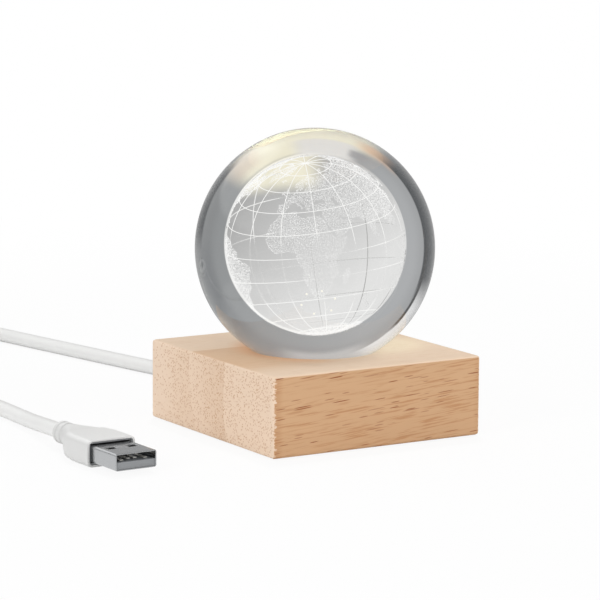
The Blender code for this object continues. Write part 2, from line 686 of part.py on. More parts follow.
def coil_point(turn):
    """The coil's centre line: in along the bottom layer, up where the spiral reverses, and out above it."""
    from_middle = turn - COIL_TURNS / 2
    angle = COIL_START_ANGLE + math.tau * turn
    radius = COIL_INNER_RADIUS + COIL_PITCH * math.hypot(from_middle, COIL_REVERSAL_SHARE)
    layer = smooth_step(from_middle / COIL_CLIMB_TURNS + 1 / 2)
    from_tie = (angle - TIE_ANGLE + math.pi) % math.tau - math.pi
    hump = math.cos(min(abs(from_tie) / TIE_HUMP_ANGLE, 1) * math.pi / 2) ** 2
    height = CORD_REST_Z + COIL_PITCH * layer + TIE_LIFT * hump
    outward = Vector((math.cos(angle), math.sin(angle))) * radius
    return Vector((*(COIL_CENTRE + outward), height))


def coil_route():
    """Points along the coil, with a straight end of one diameter before and after its turns."""
    count = round(COIL_TURNS * COIL_POINTS_PER_TURN)
    turns = [coil_point(COIL_TURNS * k / count) for k in range(count + 1)]
    turn_share = 1 / (COIL_POINTS_PER_TURN * COIL_POINTS_PER_TURN)
    heading_in = level_heading(turns[0], coil_point(turn_share))
    heading_out = level_heading(coil_point(COIL_TURNS - turn_share), turns[-1])
    lead_in = turns[0] - heading_in * CORD_DIAMETER
    lead_out = turns[-1] + heading_out * CORD_DIAMETER
    return [lead_in, *turns, lead_out], heading_in, heading_out


def level_heading(near, far):
    """Direction from one point to another, kept level."""
    return Vector((far.x - near.x, far.y - near.y, 0)).normalized()


def least_gap(points):
    """Least gap between turns of the tube, from its points to its stretches half a turn or more away."""
    line = np.array([tuple(point) for point in points])
    start, stretch = line[:-1], np.diff(line, axis=0)
    least = math.inf
    for k, point in enumerate(line):
        far = np.abs(np.arange(len(start)) - k) > COIL_POINTS_PER_TURN // 2
        offset = point - start[far]
        share = (offset * stretch[far]).sum(axis=1) / (stretch[far] ** 2).sum(axis=1)
        nearest = start[far] + np.clip(share, 0, 1)[:, None] * stretch[far]
        least = min(least, float(np.linalg.norm(point - nearest, axis=1).min()))
    return least - CORD_DIAMETER


def make_cord():
    """The free cord: from the back of the base to the coil, the coil with its tie, and on to the plug."""
    coil, heading_in, heading_out = coil_route()
    tube("cord_coil", coil, CORD_RADIUS, "cord_jacket", COIL_RESOLUTION)
    gap = least_gap(coil)
    print(f"least gap between turns: {gap / MM:.2f} mm, wanted over {LEAST_TURN_GAP / MM:.1f} mm")

    back = Vector((0, 1, 0))
    start = Vector((0, BACK_FACE, CORD_EXIT_Z))
    lamp_run = route_between(start, LAMP_STATIONS, coil[0] - heading_in * SEAT_GAP, back, heading_in)
    tube("cord_run_lamp", lamp_run, CORD_RADIUS, "cord_jacket")

    heading = Vector((math.cos(PLUG_HEADING), math.sin(PLUG_HEADING), 0))
    mouth = Vector((PLUG_MOUTH.x, PLUG_MOUTH.y, PLUG_CENTRE_Z + NECK_RISE))
    neck = mouth - heading * (SHELL_REACH + grip_length() + SEAT_GAP)
    plug_run = route_between(coil[-1] + heading_out * SEAT_GAP, PLUG_STATIONS, neck, heading_out, heading)
    tube("cord_run_plug", plug_run, CORD_RADIUS, "cord_jacket")

    total = sum(route_length(run) for run in (lamp_run, coil, plug_run))
    print(f"cord from the base to the plug's grip: {total:.3f} m")


def make_coil_tie():
    """A strap round all the turns of the coil at one place."""
    outward = Vector((math.cos(TIE_ANGLE), math.sin(TIE_ANGLE), 0))
    forward = Vector((-outward.y, outward.x, 0))
    turns_in = round(COIL_TURNS / 2)
    first_turn = (TIE_ANGLE - COIL_START_ANGLE) / math.tau
    radii = []
    for turn in [first_turn + k for k in range(2 * turns_in)]:
        at = coil_point(turn)
        radii.append(math.hypot(at.x - COIL_CENTRE.x, at.y - COIL_CENTRE.y))
    bottom = CORD_REST_Z + TIE_LIFT
    clear = CORD_RADIUS + TIE_GAP
    half_across = (max(radii) - min(radii)) / 2 + clear
    half_up = COIL_PITCH / 2 + clear
    middle = outward * ((max(radii) + min(radii)) / 2) + Vector((*COIL_CENTRE, bottom + COIL_PITCH / 2))

    shape = bmesh.new()
    loops = []
    for side in (-1, 1):
        ring = []
        for across, up in rounded_outline(half_across, half_up, clear):
            at = middle + outward * across + Vector((0, 0, up)) + forward * (side * TIE_WIDTH / 2)
            ring.append(shape.verts.new(at))
        loops.append(ring)
    for k, vertex in enumerate(loops[0]):
        shape.faces.new((loops[0][k - 1], vertex, loops[1][k], loops[1][k - 1]))
    mesh = as_mesh("coil_tie", shape)
    tie = place("coil_tie", mesh, "strap")
    wall = tie.modifiers.new("wall", "SOLIDIFY")
    wall.thickness = TIE_THICKNESS
    wall.offset = 1


def grip_length():
    """Length of the grip from its front rim to the end of its neck."""
    return GRIP_BODY_LENGTH + GRIP_TAPER_LENGTH + GRIP_NECK_LENGTH


def grip_sections():
    """Sections of the grip from its front rim back: a boxy body, a taper and a round grooved neck."""
    wide, high = GRIP_WIDTH / 2, GRIP_HEIGHT / 2
    neck = CORD_RADIUS + NECK_WALL
    front = -SHELL_REACH
    soft = GRIP_EDGE_ROUND
    sections = [(front, wide - soft, high - soft, GRIP_CORNER - soft, 0)]
    sections.append((front - soft / 4, wide - soft / 4, high - soft / 4, GRIP_CORNER - soft / 4, 0))
    sections.append((front - soft, wide, high, GRIP_CORNER, 0))
    sections.append((front - GRIP_STRAIGHT_LENGTH, wide, high, GRIP_CORNER, 0))
    crease = front - GRIP_BODY_LENGTH
    for along, narrower, lower, rounder, raised in TAPER_SHARES:
        half_width = wide + (neck - wide) * narrower
        half_height = high + (neck - high) * lower
        corner = min(GRIP_CORNER + (neck - GRIP_CORNER) * rounder, half_height)
        at = crease - along * GRIP_TAPER_LENGTH
        sections.append((at, half_width, half_height, corner, NECK_RISE * raised))
    collar = crease - GRIP_TAPER_LENGTH
    worn = neck - GROOVE_DEPTH
    stops = [(collar, neck)]
    for k in range(2):
        groove = collar - GROOVE_WIDTH - k * GROOVE_SPACING
        stops += [(groove, neck), (groove - GROOVE_WIDTH / 3, worn)]
        stops += [(groove - GROOVE_WIDTH * 2 / 3, worn), (groove - GROOVE_WIDTH, neck)]
    end = collar - GRIP_NECK_LENGTH
    stops += [(end + soft, neck), (end, neck - soft)]
    return sections + [(along, radius, radius, radius, NECK_RISE) for along, radius in stops]


def box_sections(front, back, half_width, half_height, corner):
    """Sections of a straight prism with round corners."""
    return [(along, half_width, half_height, corner, 0) for along in (front, back)]


def make_plug():
    """The plug, modelled about its own mouth: its X points out of the mouth and its Z up from the table."""
    frame = bpy.data.objects.new("plug_frame", None)
    parts.objects.link(frame)
    frame.location = (PLUG_MOUTH.x, PLUG_MOUTH.y, PLUG_CENTRE_Z)
    frame.rotation_euler = (0, 0, PLUG_HEADING)
    wide, high = SHELL_WIDTH / 2, SHELL_HEIGHT / 2
    front = -SHELL_REACH
    shell_back = front - GRIP_RECESS_DEPTH - SHELL_BURIED

    grip = lofted("plug_grip", grip_sections(), "plug_plastic", frame)
    rim = box_sections(
        front + CUT_OVERRUN,
        front - GRIP_RECESS_DEPTH,
        GRIP_WIDTH / 2 - GRIP_RIM,
        GRIP_HEIGHT / 2 - GRIP_RIM,
        GRIP_CORNER - GRIP_RIM,
    )
    socket = box_sections(
        front + 2 * CUT_OVERRUN,
        shell_back - SEAT_GAP,
        wide + SEAT_GAP,
        high + SEAT_GAP,
        SHELL_CORNER + SEAT_GAP,
    )
    cut(grip, lofted("grip_recess_cutter", rim, parent=frame))
    cut(grip, lofted("grip_socket_cutter", socket, parent=frame))

    lip = SHELL_LIP
    outside = [(0, wide - lip, high - lip, SHELL_CORNER - lip, 0)]
    outside += box_sections(-lip, shell_back, wide, high, SHELL_CORNER)
    shell = lofted("plug_shell", outside, "shell_steel", frame)
    inner_wide, inner_high = wide - SHELL_WALL, high - SHELL_WALL
    hollow = box_sections(
        CUT_OVERRUN,
        shell_back - CUT_OVERRUN,
        inner_wide,
        inner_high,
        SHELL_CORNER - SHELL_WALL,
    )
    cut(shell, lofted("shell_hollow_cutter", hollow, parent=frame))
    window_size = (WINDOW_LENGTH, WINDOW_WIDTH, SHELL_WALL + 2 * CUT_OVERRUN)
    for level_name, level in (("upper", 1), ("lower", -1)):
        for side_name, side in (("left", 1), ("right", -1)):
            at = Vector((-WINDOW_FROM_MOUTH, side * WINDOW_SPACING / 2, level * (high - SHELL_WALL / 2)))
            window = block(f"{level_name}_{side_name}_window_cutter", window_size, at, parent=frame)
            cut(shell, window)

    tongue_bottom = -inner_high + SNUG_GAP
    tongue_top = tongue_bottom + TONGUE_HEIGHT
    tongue_wide = inner_wide - SNUG_GAP
    half = TONGUE_HEIGHT / 2
    chamfer = TONGUE_CHAMFER
    tongue = [(-TONGUE_SETBACK, tongue_wide - chamfer, half - chamfer, chamfer, 0)]
    tongue += box_sections(-TONGUE_SETBACK - chamfer, shell_back, tongue_wide, half, chamfer)
    lofted("plug_tongue", tongue, "tongue_plastic", frame).location = (0, 0, tongue_bottom + half)

    contact_size = (CONTACT_LENGTH, CONTACT_WIDTH, CONTACT_THICKNESS)
    contact_level = tongue_top + SOLDER_GAP + CONTACT_THICKNESS / 2
    contact_places = (
        (CONTACT_OUTER_PITCH / 2, 0),
        (CONTACT_INNER_PITCH / 2, CONTACT_STAGGER),
        (-CONTACT_INNER_PITCH / 2, CONTACT_STAGGER),
        (-CONTACT_OUTER_PITCH / 2, 0),
    )
    for number, (across, stagger) in enumerate(contact_places, 1):
        middle = -TONGUE_SETBACK - CONTACT_SETBACK - stagger - CONTACT_LENGTH / 2
        at = Vector((middle, across, contact_level))
        block(f"plug_contact_{number}", contact_size, at, "contact_gold", parent=frame)


def main():
    """Builds the lamp from the ball down to the plug."""
    start_clean()
    make_ball()
    make_base()
    make_feet()
    make_cover()
    make_board()
    make_lead_inside()
    make_cord()
    make_coil_tie()
    make_plug()
    flatten_shading()
    bpy.context.view_layer.update()


main()
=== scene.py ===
"""Looks of the crystal ball lamp: a lit glass ball with an engraved globe, on a square wooden base.

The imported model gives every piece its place. This script dresses it: the finish of each surface, the
white lead with its coil and plug, the globe inside the glass, and a plain pale studio.
"""

import logging
import math
from dataclasses import dataclass, field, replace
from enum import Enum
from typing import Iterable

import bmesh
import bpy
import numpy as np
from mathutils import Matrix, Vector


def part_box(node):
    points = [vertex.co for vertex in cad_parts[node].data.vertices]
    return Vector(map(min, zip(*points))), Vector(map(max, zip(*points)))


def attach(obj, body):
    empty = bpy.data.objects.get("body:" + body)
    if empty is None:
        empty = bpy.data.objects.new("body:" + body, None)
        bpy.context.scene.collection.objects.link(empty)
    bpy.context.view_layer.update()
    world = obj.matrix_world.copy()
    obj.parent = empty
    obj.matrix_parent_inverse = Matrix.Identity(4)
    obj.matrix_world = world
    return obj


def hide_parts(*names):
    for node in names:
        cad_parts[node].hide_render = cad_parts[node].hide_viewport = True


MM = 0.001
LOG = logging.getLogger("crystal_ball_lamp")

MERGE_DISTANCE = 0.002 * MM
FLAT_ANGLE = math.radians(0.5)
SHARP_ANGLE = math.radians(35)
PLUG_HEADING = math.radians(-88.5)
UP = Vector((0, 0, 1))

Triple = tuple[float, float, float]
Colour = Triple
Outline = tuple[tuple[float, float], ...]
Setting = str | int | float | bool | tuple
Input = "Wire | float | tuple"

WHITE: Colour = (1.0, 1.0, 1.0)
DARK: Colour = (0.0, 0.0, 0.0)
NO_TURN: Triple = (0.0, 0.0, 0.0)

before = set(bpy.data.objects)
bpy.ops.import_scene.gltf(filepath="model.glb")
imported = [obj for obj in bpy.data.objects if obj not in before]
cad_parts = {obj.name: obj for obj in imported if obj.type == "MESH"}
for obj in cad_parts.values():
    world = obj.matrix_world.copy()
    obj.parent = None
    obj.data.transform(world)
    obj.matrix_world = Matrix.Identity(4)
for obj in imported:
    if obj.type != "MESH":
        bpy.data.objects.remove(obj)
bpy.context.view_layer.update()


class Body(Enum):
    """The two bodies of the lamp."""

    BASE = "base"
    BALL = "ball"


def grey(level: float) -> Colour:
    """A grey of that level."""
    return (level, level, level)


def toned(colour: Colour, share: float) -> Colour:
    """A colour times a share, no brighter than white."""
    return tuple(min(part * share, 1.0) for part in colour)


def placed(name: str, data: bpy.types.ID) -> bpy.types.Object:
    """An object of that data, linked to the scene."""
    made = bpy.data.objects.new(name, data)
    bpy.context.scene.collection.objects.link(made)
    return made


class Wire:
    """A value in a graph of nodes. Its operators add Math nodes."""

    def __init__(self, graph: "Graph", socket: bpy.types.NodeSocket) -> None:
        """Keeps the graph and the output socket."""
        self.graph = graph
        self.socket = socket

    def math(self, operation: str, *others: Input, first: bool = True) -> "Wire":
        """Adds a Math node.

        Args:
            operation: The node's operation.
            others: Its other values.
            first: Whether this value is the node's first.

        Returns:
            The node's value.
        """
        values = (self, *others) if first else (*others, self)
        made = self.graph.node("Math", {"operation": operation}, dict(enumerate(values)))
        return Wire(self.graph, made.outputs[0])

    def __add__(self, other: Input) -> "Wire":
        """This value plus another."""
        return self.math("ADD", other)

    __radd__ = __add__

    def __sub__(self, other: Input) -> "Wire":
        """This value less another."""
        return self.math("SUBTRACT", other)

    def __rsub__(self, other: Input) -> "Wire":
        """Another value less this one."""
        return self.math("SUBTRACT", other, first=False)

    def __mul__(self, other: Input) -> "Wire":
        """This value times another."""
        return self.math("MULTIPLY", other)

    __rmul__ = __mul__

    def __truediv__(self, other: Input) -> "Wire":
        """This value divided by another."""
        return self.math("DIVIDE", other)

    def __pow__(self, other: Input) -> "Wire":
        """This value to a power."""
        return self.math("POWER", other)

    def clipped(self) -> "Wire":
        """This value, held between 0 and 1."""
        return self.math("MAXIMUM", 0.0).math("MINIMUM", 1.0)

    def rise(self, low: float, high: float) -> "Wire":
        """Turns the value into a share that rises smoothly from 0 at low to 1 at high.

        Args:
            low: Value where the share is 0. It may be above high, and then the share falls.
            high: Value where the share is 1.

        Returns:
            The share.
        """
        inputs = {"Value": self, "From Min": low, "From Max": high}
        made = self.graph.node("MapRange", {"interpolation_type": "SMOOTHSTEP"}, inputs)
        return Wire(self.graph, made.outputs[0])

    def off(self, bearing: float) -> "Wire":
        """How many degrees this angle lies from another, either way."""
        return (self - bearing).math("WRAP", 180.0, -180.0).math("ABSOLUTE")

    def diagonal(self, other: "Wire") -> "Wire":
        """Length of the diagonal of this value and another."""
        return (self * self + other * other) ** 0.5


class Graph:
    """The nodes of a material or of the world."""

    def __init__(self, owner: bpy.types.Material | bpy.types.World) -> None:
        """Clears the owner's nodes."""
        owner.use_nodes = True
        self.tree = owner.node_tree
        self.tree.nodes.clear()

    def node(
        self,
        kind: str,
        settings: dict[str, Setting] | None = None,
        inputs: dict[str | int, Input] | None = None,
    ) -> bpy.types.Node:
        """Adds a node.

        Args:
            kind: The node's type, without its ShaderNode prefix.
            settings: Its properties, which are set before its sockets.
            inputs: Values or links of its sockets, by name or number.

        Returns:
            The node.
        """
        made = self.tree.nodes.new(f"ShaderNode{kind}")
        for name, value in (settings or {}).items():
            setattr(made, name, value)
        for name, value in (inputs or {}).items():
            self.feed(made.inputs[name], value)
        return made

    def feed(self, socket: bpy.types.NodeSocket, value: Input) -> None:
        """Links a value to a socket, or sets it there.

        Args:
            socket: The input socket.
            value: A wire, a number, or a colour or vector.
        """
        if isinstance(value, Wire):
            self.tree.links.new(value.socket, socket)
        elif isinstance(value, tuple) and socket.type == "RGBA":
            socket.default_value = (*value[:3], 1.0)
        else:
            socket.default_value = value

    def wire(
        self, kind: str, output: str | int, settings: dict[str, Setting] | None = None, **inputs: Input
    ) -> Wire:
        """Adds a node and takes one output. Underscores stand for the spaces in its sockets' names."""
        named = {name.replace("_", " "): value for name, value in inputs.items()}
        return Wire(self, self.node(kind, settings, named).outputs[output])

    def place(self, stretch: Triple = (1.0, 1.0, 1.0), turn: Triple = NO_TURN) -> Wire:
        """A place on the piece in millimetres, or in a pattern's own stretched and turned units.

        Args:
            stretch: The pattern's units per millimetre along each axis.
            turn: Turn about each axis, in radians.

        Returns:
            The place.
        """
        inputs = {
            "Vector": self.wire("TexCoord", "Object"),
            "Rotation": turn,
            "Scale": tuple(MM / share for share in stretch),
        }
        return self.wire("Mapping", "Vector", {"vector_type": "TEXTURE"}, **inputs)

    def axes(self, vector: Wire) -> tuple[Wire, Wire, Wire]:
        """The three parts of a vector."""
        return tuple(Wire(self, part) for part in self.node("SeparateXYZ", inputs={"Vector": vector}).outputs)

    def facing(self) -> tuple[Wire, Wire, Wire]:
        """The three parts of the direction that the surface faces."""
        return self.axes(self.wire("NewGeometry", "Normal"))

    def rays(self, *kinds: str) -> list[Wire]:
        """Whether the ray is of each kind: Camera, Glossy or Transmission."""
        path = self.node("LightPath").outputs
        return [Wire(self, path[f"Is {kind} Ray"]) for kind in kinds]

    def cells(self, stretch: Triple, turn: Triple = NO_TURN) -> tuple[Wire, Wire, Wire]:
        """Scattered cells, such as the wood's pores.

        Args:
            stretch: Cells per millimetre along each axis.
            turn: Turn about each axis, in radians.

        Returns:
            How far the nearest cell's middle is, and two values that differ from cell to cell.
        """
        cell = self.node("TexVoronoi", inputs={"Vector": self.place(stretch, turn), "Scale": 1.0}).outputs
        luck, depth, _ = self.axes(Wire(self, cell["Color"]))
        return Wire(self, cell["Distance"]), luck, depth

    def noise(self, at: Wire, scale: float, detail: float = 2.0, roughness: float = 0.5) -> Wire:
        """Noise from about 0.3 to 0.7, with scale grains to a unit of the place."""
        return self.wire("TexNoise", "Fac", Vector=at, Scale=scale, Detail=detail, Roughness=roughness)

    def blend(self, share: Input, low: Input, high: Input, mode: str = "MIX") -> Wire:
        """Mixes two colours.

        Args:
            share: How far the result is from low to high.
            low: Colour at 0.
            high: Colour at 1.
            mode: Blend mode.

        Returns:
            The mixed colour.
        """
        made = self.node("Mix", {"data_type": "RGBA", "blend_type": mode})
        for socket, value in zip((made.inputs[0], made.inputs[6], made.inputs[7]), (share, low, high)):
            self.feed(socket, value)
        return Wire(self, made.outputs[2])

    def along(self, vector: Wire, direction: Vector) -> Wire:
        """How far a vector reaches along a direction."""
        made = self.node("VectorMath", {"operation": "DOT_PRODUCT"}, {0: vector, 1: tuple(direction)})
        return Wire(self, made.outputs["Value"])

    def bump(self, height: Wire, depth: float, strength: float = 1.0, normal: Wire | None = None) -> Wire:
        """A normal bent by a height from 0 to 1, where 1 is depth in metres."""
        start = {} if normal is None else {"Normal": normal}
        return self.wire("Bump", "Normal", Strength=strength, Distance=depth, Height=height, **start)

    def shader(self, **inputs: Input) -> Wire:
        """Adds a Principled shader."""
        return self.wire("BsdfPrincipled", 0, **inputs)

    def layered(self, share: Wire, first: Wire, second: Wire) -> Wire:
        """Mixes two shaders."""
        return Wire(self, self.node("MixShader", inputs={0: share, 1: first, 2: second}).outputs[0])

    def shown(self, shader: Wire, world: bool = False) -> None:
        """Sends a shader to the output."""
        self.node("OutputWorld" if world else "OutputMaterial", inputs={"Surface": shader})


@dataclass(frozen=True)
class Finish:
    """A finish with fine mottling: moulded plastic, rubber, laminate or lacquer.

    Lengths are in millimetres. Painted shade darkens what lies below a height, and a ring of painted shade
    marks each groove at its place along Y.
    """

    name: str
    colour: Colour
    roughness: float = 0.45
    mottle: float = 0.06
    grain: float = 0.5
    depth: float = 0.01
    metallic: float = 0.0
    specular: float = 0.5
    wear: float = 0.05
    shaded_below: float = 0.0
    shade_fade: float = 1.5
    shade_share: float = 0.0
    grooves: tuple[float, ...] = ()
    groove_reach: float = 0.8
    groove_core: float = 0.2
    groove_shade_share: float = 0.22

    def material(self) -> bpy.types.Material:
        """The material of the finish, made when it is first asked for."""
        dressed = f"{self.name}_dressed"
        made = bpy.data.materials.get(dressed)
        if made is None:
            made = bpy.data.materials.new(dressed)
            graph = Graph(made)
            graph.shown(self.shade(graph))
        return made

    def shade(self, graph: Graph) -> Wire:
        """Builds the finish.

        Args:
            graph: The material's nodes.

        Returns:
            The shader.
        """
        at = graph.place()
        _, y, up = graph.axes(at)
        cloud = graph.noise(at, 0.12, 3.0)
        grit = graph.noise(at, 1 / self.grain, 3.0, 0.6)
        darker, lighter = toned(self.colour, 1 - 2 * self.mottle), toned(self.colour, 1 + self.mottle)
        # Painted shade: darker below shaded_below, and in a ring at each groove.
        shaded = up.rise(self.shaded_below, self.shaded_below - self.shade_fade) * self.shade_share
        for groove in self.grooves:
            groove_shade = (y - groove).math("ABSOLUTE").rise(self.groove_reach, self.groove_core)
            shaded = shaded.math("MAXIMUM", groove_shade * self.groove_shade_share)
        rough = (cloud - 0.5) * (2 * self.wear) + (grit - 0.5) * self.wear + self.roughness
        return graph.shader(
            Base_Color=graph.blend(shaded, graph.blend(cloud * 0.7 + grit * 0.3, darker, lighter), DARK),
            Roughness=rough.clipped(),
            Metallic=self.metallic,
            Specular_IOR_Level=self.specular,
            Normal=graph.bump(grit, self.depth * MM),
        )


@dataclass(frozen=True)
class Metal(Finish):
    """Plated or turned metal with fine lines along one direction."""

    metallic: float = 1.0
    edge: float = 0.25
    lines: Triple = (0.05, 2.0, 2.0)

    def shade(self, graph: Graph) -> Wire:
        """Builds the finish.

        Args:
            graph: The material's nodes.

        Returns:
            The shader.
        """
        lines = graph.noise(graph.place(self.lines), 2.5, 3.0, 0.7)
        smudge = graph.noise(graph.place(), 0.35, 2.0)
        rough = (lines - 0.5) * 0.16 + (smudge - 0.5) * 0.2 + self.roughness
        rounded_edge = graph.wire("Bevel", "Normal", {"samples": 6}, Radius=self.edge * MM)
        darker = toned(self.colour, 1 - self.mottle)
        return graph.shader(
            Base_Color=graph.blend(smudge * 0.6 + lines * 0.4, darker, self.colour),
            Roughness=rough.clipped(),
            Metallic=self.metallic,
            Normal=graph.bump(lines, self.depth * MM, 0.5, rounded_edge),
        )


@dataclass(frozen=True)
class Hardwood(Finish):
    """Pale hardwood, its grain along X: streaks and short dark pores on the long faces, dots on the ends.

    The painted shadow is the ball's brown shadow on top, and the painted glow the warm light it throws by its
    foot.
    """

    pale: Colour = (0.82, 0.645, 0.50)
    brown: Colour = (0.70, 0.505, 0.355)
    pale_top: Colour = (0.85, 0.662, 0.497)
    grain_and_shadow_tone: Colour = (0.735, 0.492, 0.308)
    streak: Colour = (0.50, 0.255, 0.120)
    pore: Colour = (0.29, 0.09, 0.03)
    painted_glow: Colour = (0.78, 0.42, 0.22)
    grain_turn: Triple = (0.0, -0.075, 0.03)
    layer_start: float = 8.5
    layer_width: float = 17.7
    layer_lean: float = 0.23
    layer_bow: float = 0.006
    edge_reach: float = 1.2
    half_width: float = 32.5
    painted_glow_rim: tuple[float, float] = (25.0, 17.0)

    def shade_layers(self, graph: Graph) -> tuple[Wire, Wire]:
        """Builds the growth layers, which cross the ends as bands.

        Args:
            graph: The material's nodes.

        Returns:
            The share of the way through the layer, and how crowded its pores are.
        """
        _, across, up = graph.axes(graph.place())
        warp = graph.noise(graph.place((0.03, 0.05, 0.05)), 1.0, 1.0)
        through = across - up * self.layer_lean + up * up * self.layer_bow + (warp - 0.5) * 5.0
        inner = (through * -1 + self.layer_start) / self.layer_width
        begun, ended = inner.rise(-0.01, 0.01), inner.rise(0.99, 1.01)
        share = inner.rise(-1.1, 0.0) * 0.45 * (1 - begun) + inner * begun * (1 - ended)
        crowd = inner.rise(-1.0, -0.05) * ((inner.rise(0.1, 0.8) * 0.3 + 0.7) * (1 - ended * 0.35))
        return share, crowd

    def shade_pores(self, graph: Graph, stretch: Triple, rarity: float) -> Wire:
        """Builds short dark pores along the grain.

        Args:
            graph: The material's nodes.
            stretch: Pores per millimetre along each axis.
            rarity: Share of the places that stay empty.

        Returns:
            The share of the colour that is a pore's.
        """
        dash, luck, depth = graph.cells(stretch, self.grain_turn)
        return dash.rise(0.38, 0.24) * luck.rise(rarity, rarity + 0.02) * (depth * 0.6 + 0.4)

    def shade(self, graph: Graph) -> Wire:
        """Builds the wood from layers, streaks and pores.

        Args:
            graph: The material's nodes.

        Returns:
            The shader.
        """
        share, crowd = self.shade_layers(graph)
        grit = graph.noise(graph.place(), 2.4, 3.0, 0.7)
        cloud = graph.noise(graph.place((0.02, 0.11, 0.11)), 1.0, 3.0)
        fine = graph.noise(graph.place((0.065, 2.1, 2.1), self.grain_turn), 1.0, 2.0, 0.6)
        broad = graph.noise(graph.place((0.03, 0.35, 0.35), self.grain_turn), 1.0, 2.0)
        lines = fine.rise(0.50, 0.64) * (broad.rise(0.36, 0.58) * 0.75 + 0.25)
        short_pores = self.shade_pores(graph, (0.2, 2.7, 2.7), 0.90)
        pores = self.shade_pores(graph, (0.09, 2.4, 2.4), 0.88).math("MAXIMUM", short_pores)
        dot, luck, _ = graph.cells((0.40, 1.9, 1.9))
        specks = dot.rise(0.52, 0.30) * (luck + crowd * 0.62).rise(0.80, 0.95)

        along, _, level = graph.facing()
        top = level.rise(0.35, 0.65)
        x, y, up = graph.axes(graph.place())
        # The end's pale colour reaches a ragged width onto the rounded edge at the left end.
        ragged_reach = graph.noise(graph.place((0.3, 0.3, 1.0)), 1.5, 3.0, 0.75).rise(0.40, 0.68) * self.edge_reach
        rounded_edge = (x + self.half_width - ragged_reach).rise(0.25, -0.15) * (1 - top)
        end = (along.math("ABSOLUTE") + (grit - 0.5) * 0.5).rise(0.30, 0.62).math("MAXIMUM", rounded_edge)
        margin = x.rise(3.6 - self.half_width, 0.9 - self.half_width)
        margin = margin + x.rise(self.half_width - 2.5, self.half_width) * 0.6
        # Painted shadow of the ball: a brown patch on the left of the top, sharp at its back edge, fading to
        # the front and right.
        painted_shadow = y.rise(11.0, 10.2) * y.rise(-29.0, -13.0) * x.rise(8.0, -8.0)
        # Painted light: the warm glow that the ball throws on the top round its foot, on its left.
        painted_glow = x.diagonal(y).rise(*self.painted_glow_rim) * x.rise(-4.0, -14.0)

        tone = (cloud.rise(0.3, 0.7) * 0.35 + grit * 0.3).clipped()
        # The long faces take the given tan, well darker than the top's pale: painted shade, over their own
        # streaks and pores.
        side = graph.blend(tone, self.colour, toned(self.colour, 0.90))
        side = graph.blend((lines * 0.82 + margin * 0.42).clipped(), side, self.streak)
        side = graph.blend(pores, side, self.pore)
        waves = graph.noise(graph.place((0.05, 0.10, 0.75)), 1.0, 3.0, 0.6).rise(0.50, 0.68)
        waves = waves * y.rise(8.0, 20.0) * up.rise(16.0, 7.0)
        layers = share * 0.45 + crowd * 0.22 + waves * 0.35
        ends = graph.blend((layers + (grit - 0.5) * 0.5).clipped(), self.pale, self.brown)
        ends = graph.blend(specks * 0.65, ends, self.streak)
        # The top darkens towards this tone along its grain lines, its random tone and the painted shadow.
        grain_and_shadow = (painted_shadow * 0.8 + lines * 0.22 + tone * 0.14).clipped()
        tops = graph.blend(grain_and_shadow, self.pale_top, self.grain_and_shadow_tone)
        tops = graph.blend(painted_glow * 0.8, tops, self.painted_glow)
        tops = graph.blend(pores * 0.25, tops, self.streak)
        height = fine * 0.5 - pores * (1 - end) - specks * end * 0.6
        return graph.shader(
            Base_Color=graph.blend(end, graph.blend(top, side, tops), ends),
            Roughness=((fine - 0.5) * 0.3 + self.roughness).clipped(),
            Specular_IOR_Level=self.specular,
            Normal=graph.bump(height, self.depth * MM, 0.6),
        )


@dataclass(frozen=True)
class ClearGlass(Finish):
    """Polished clear glass, with the faintest of smears."""

    ior: float = 1.5

    def shade(self, graph: Graph) -> Wire:
        """Builds the glass.

        Args:
            graph: The material's nodes.

        Returns:
            The shader.
        """
        smear = graph.noise(graph.place(), 0.06, 2.0).rise(0.52, 0.75)
        return graph.shader(
            Base_Color=graph.blend(smear, self.colour, toned(self.colour, 0.995)),
            Roughness=smear * 0.002,
            IOR=self.ior,
            Transmission_Weight=1.0,
        )


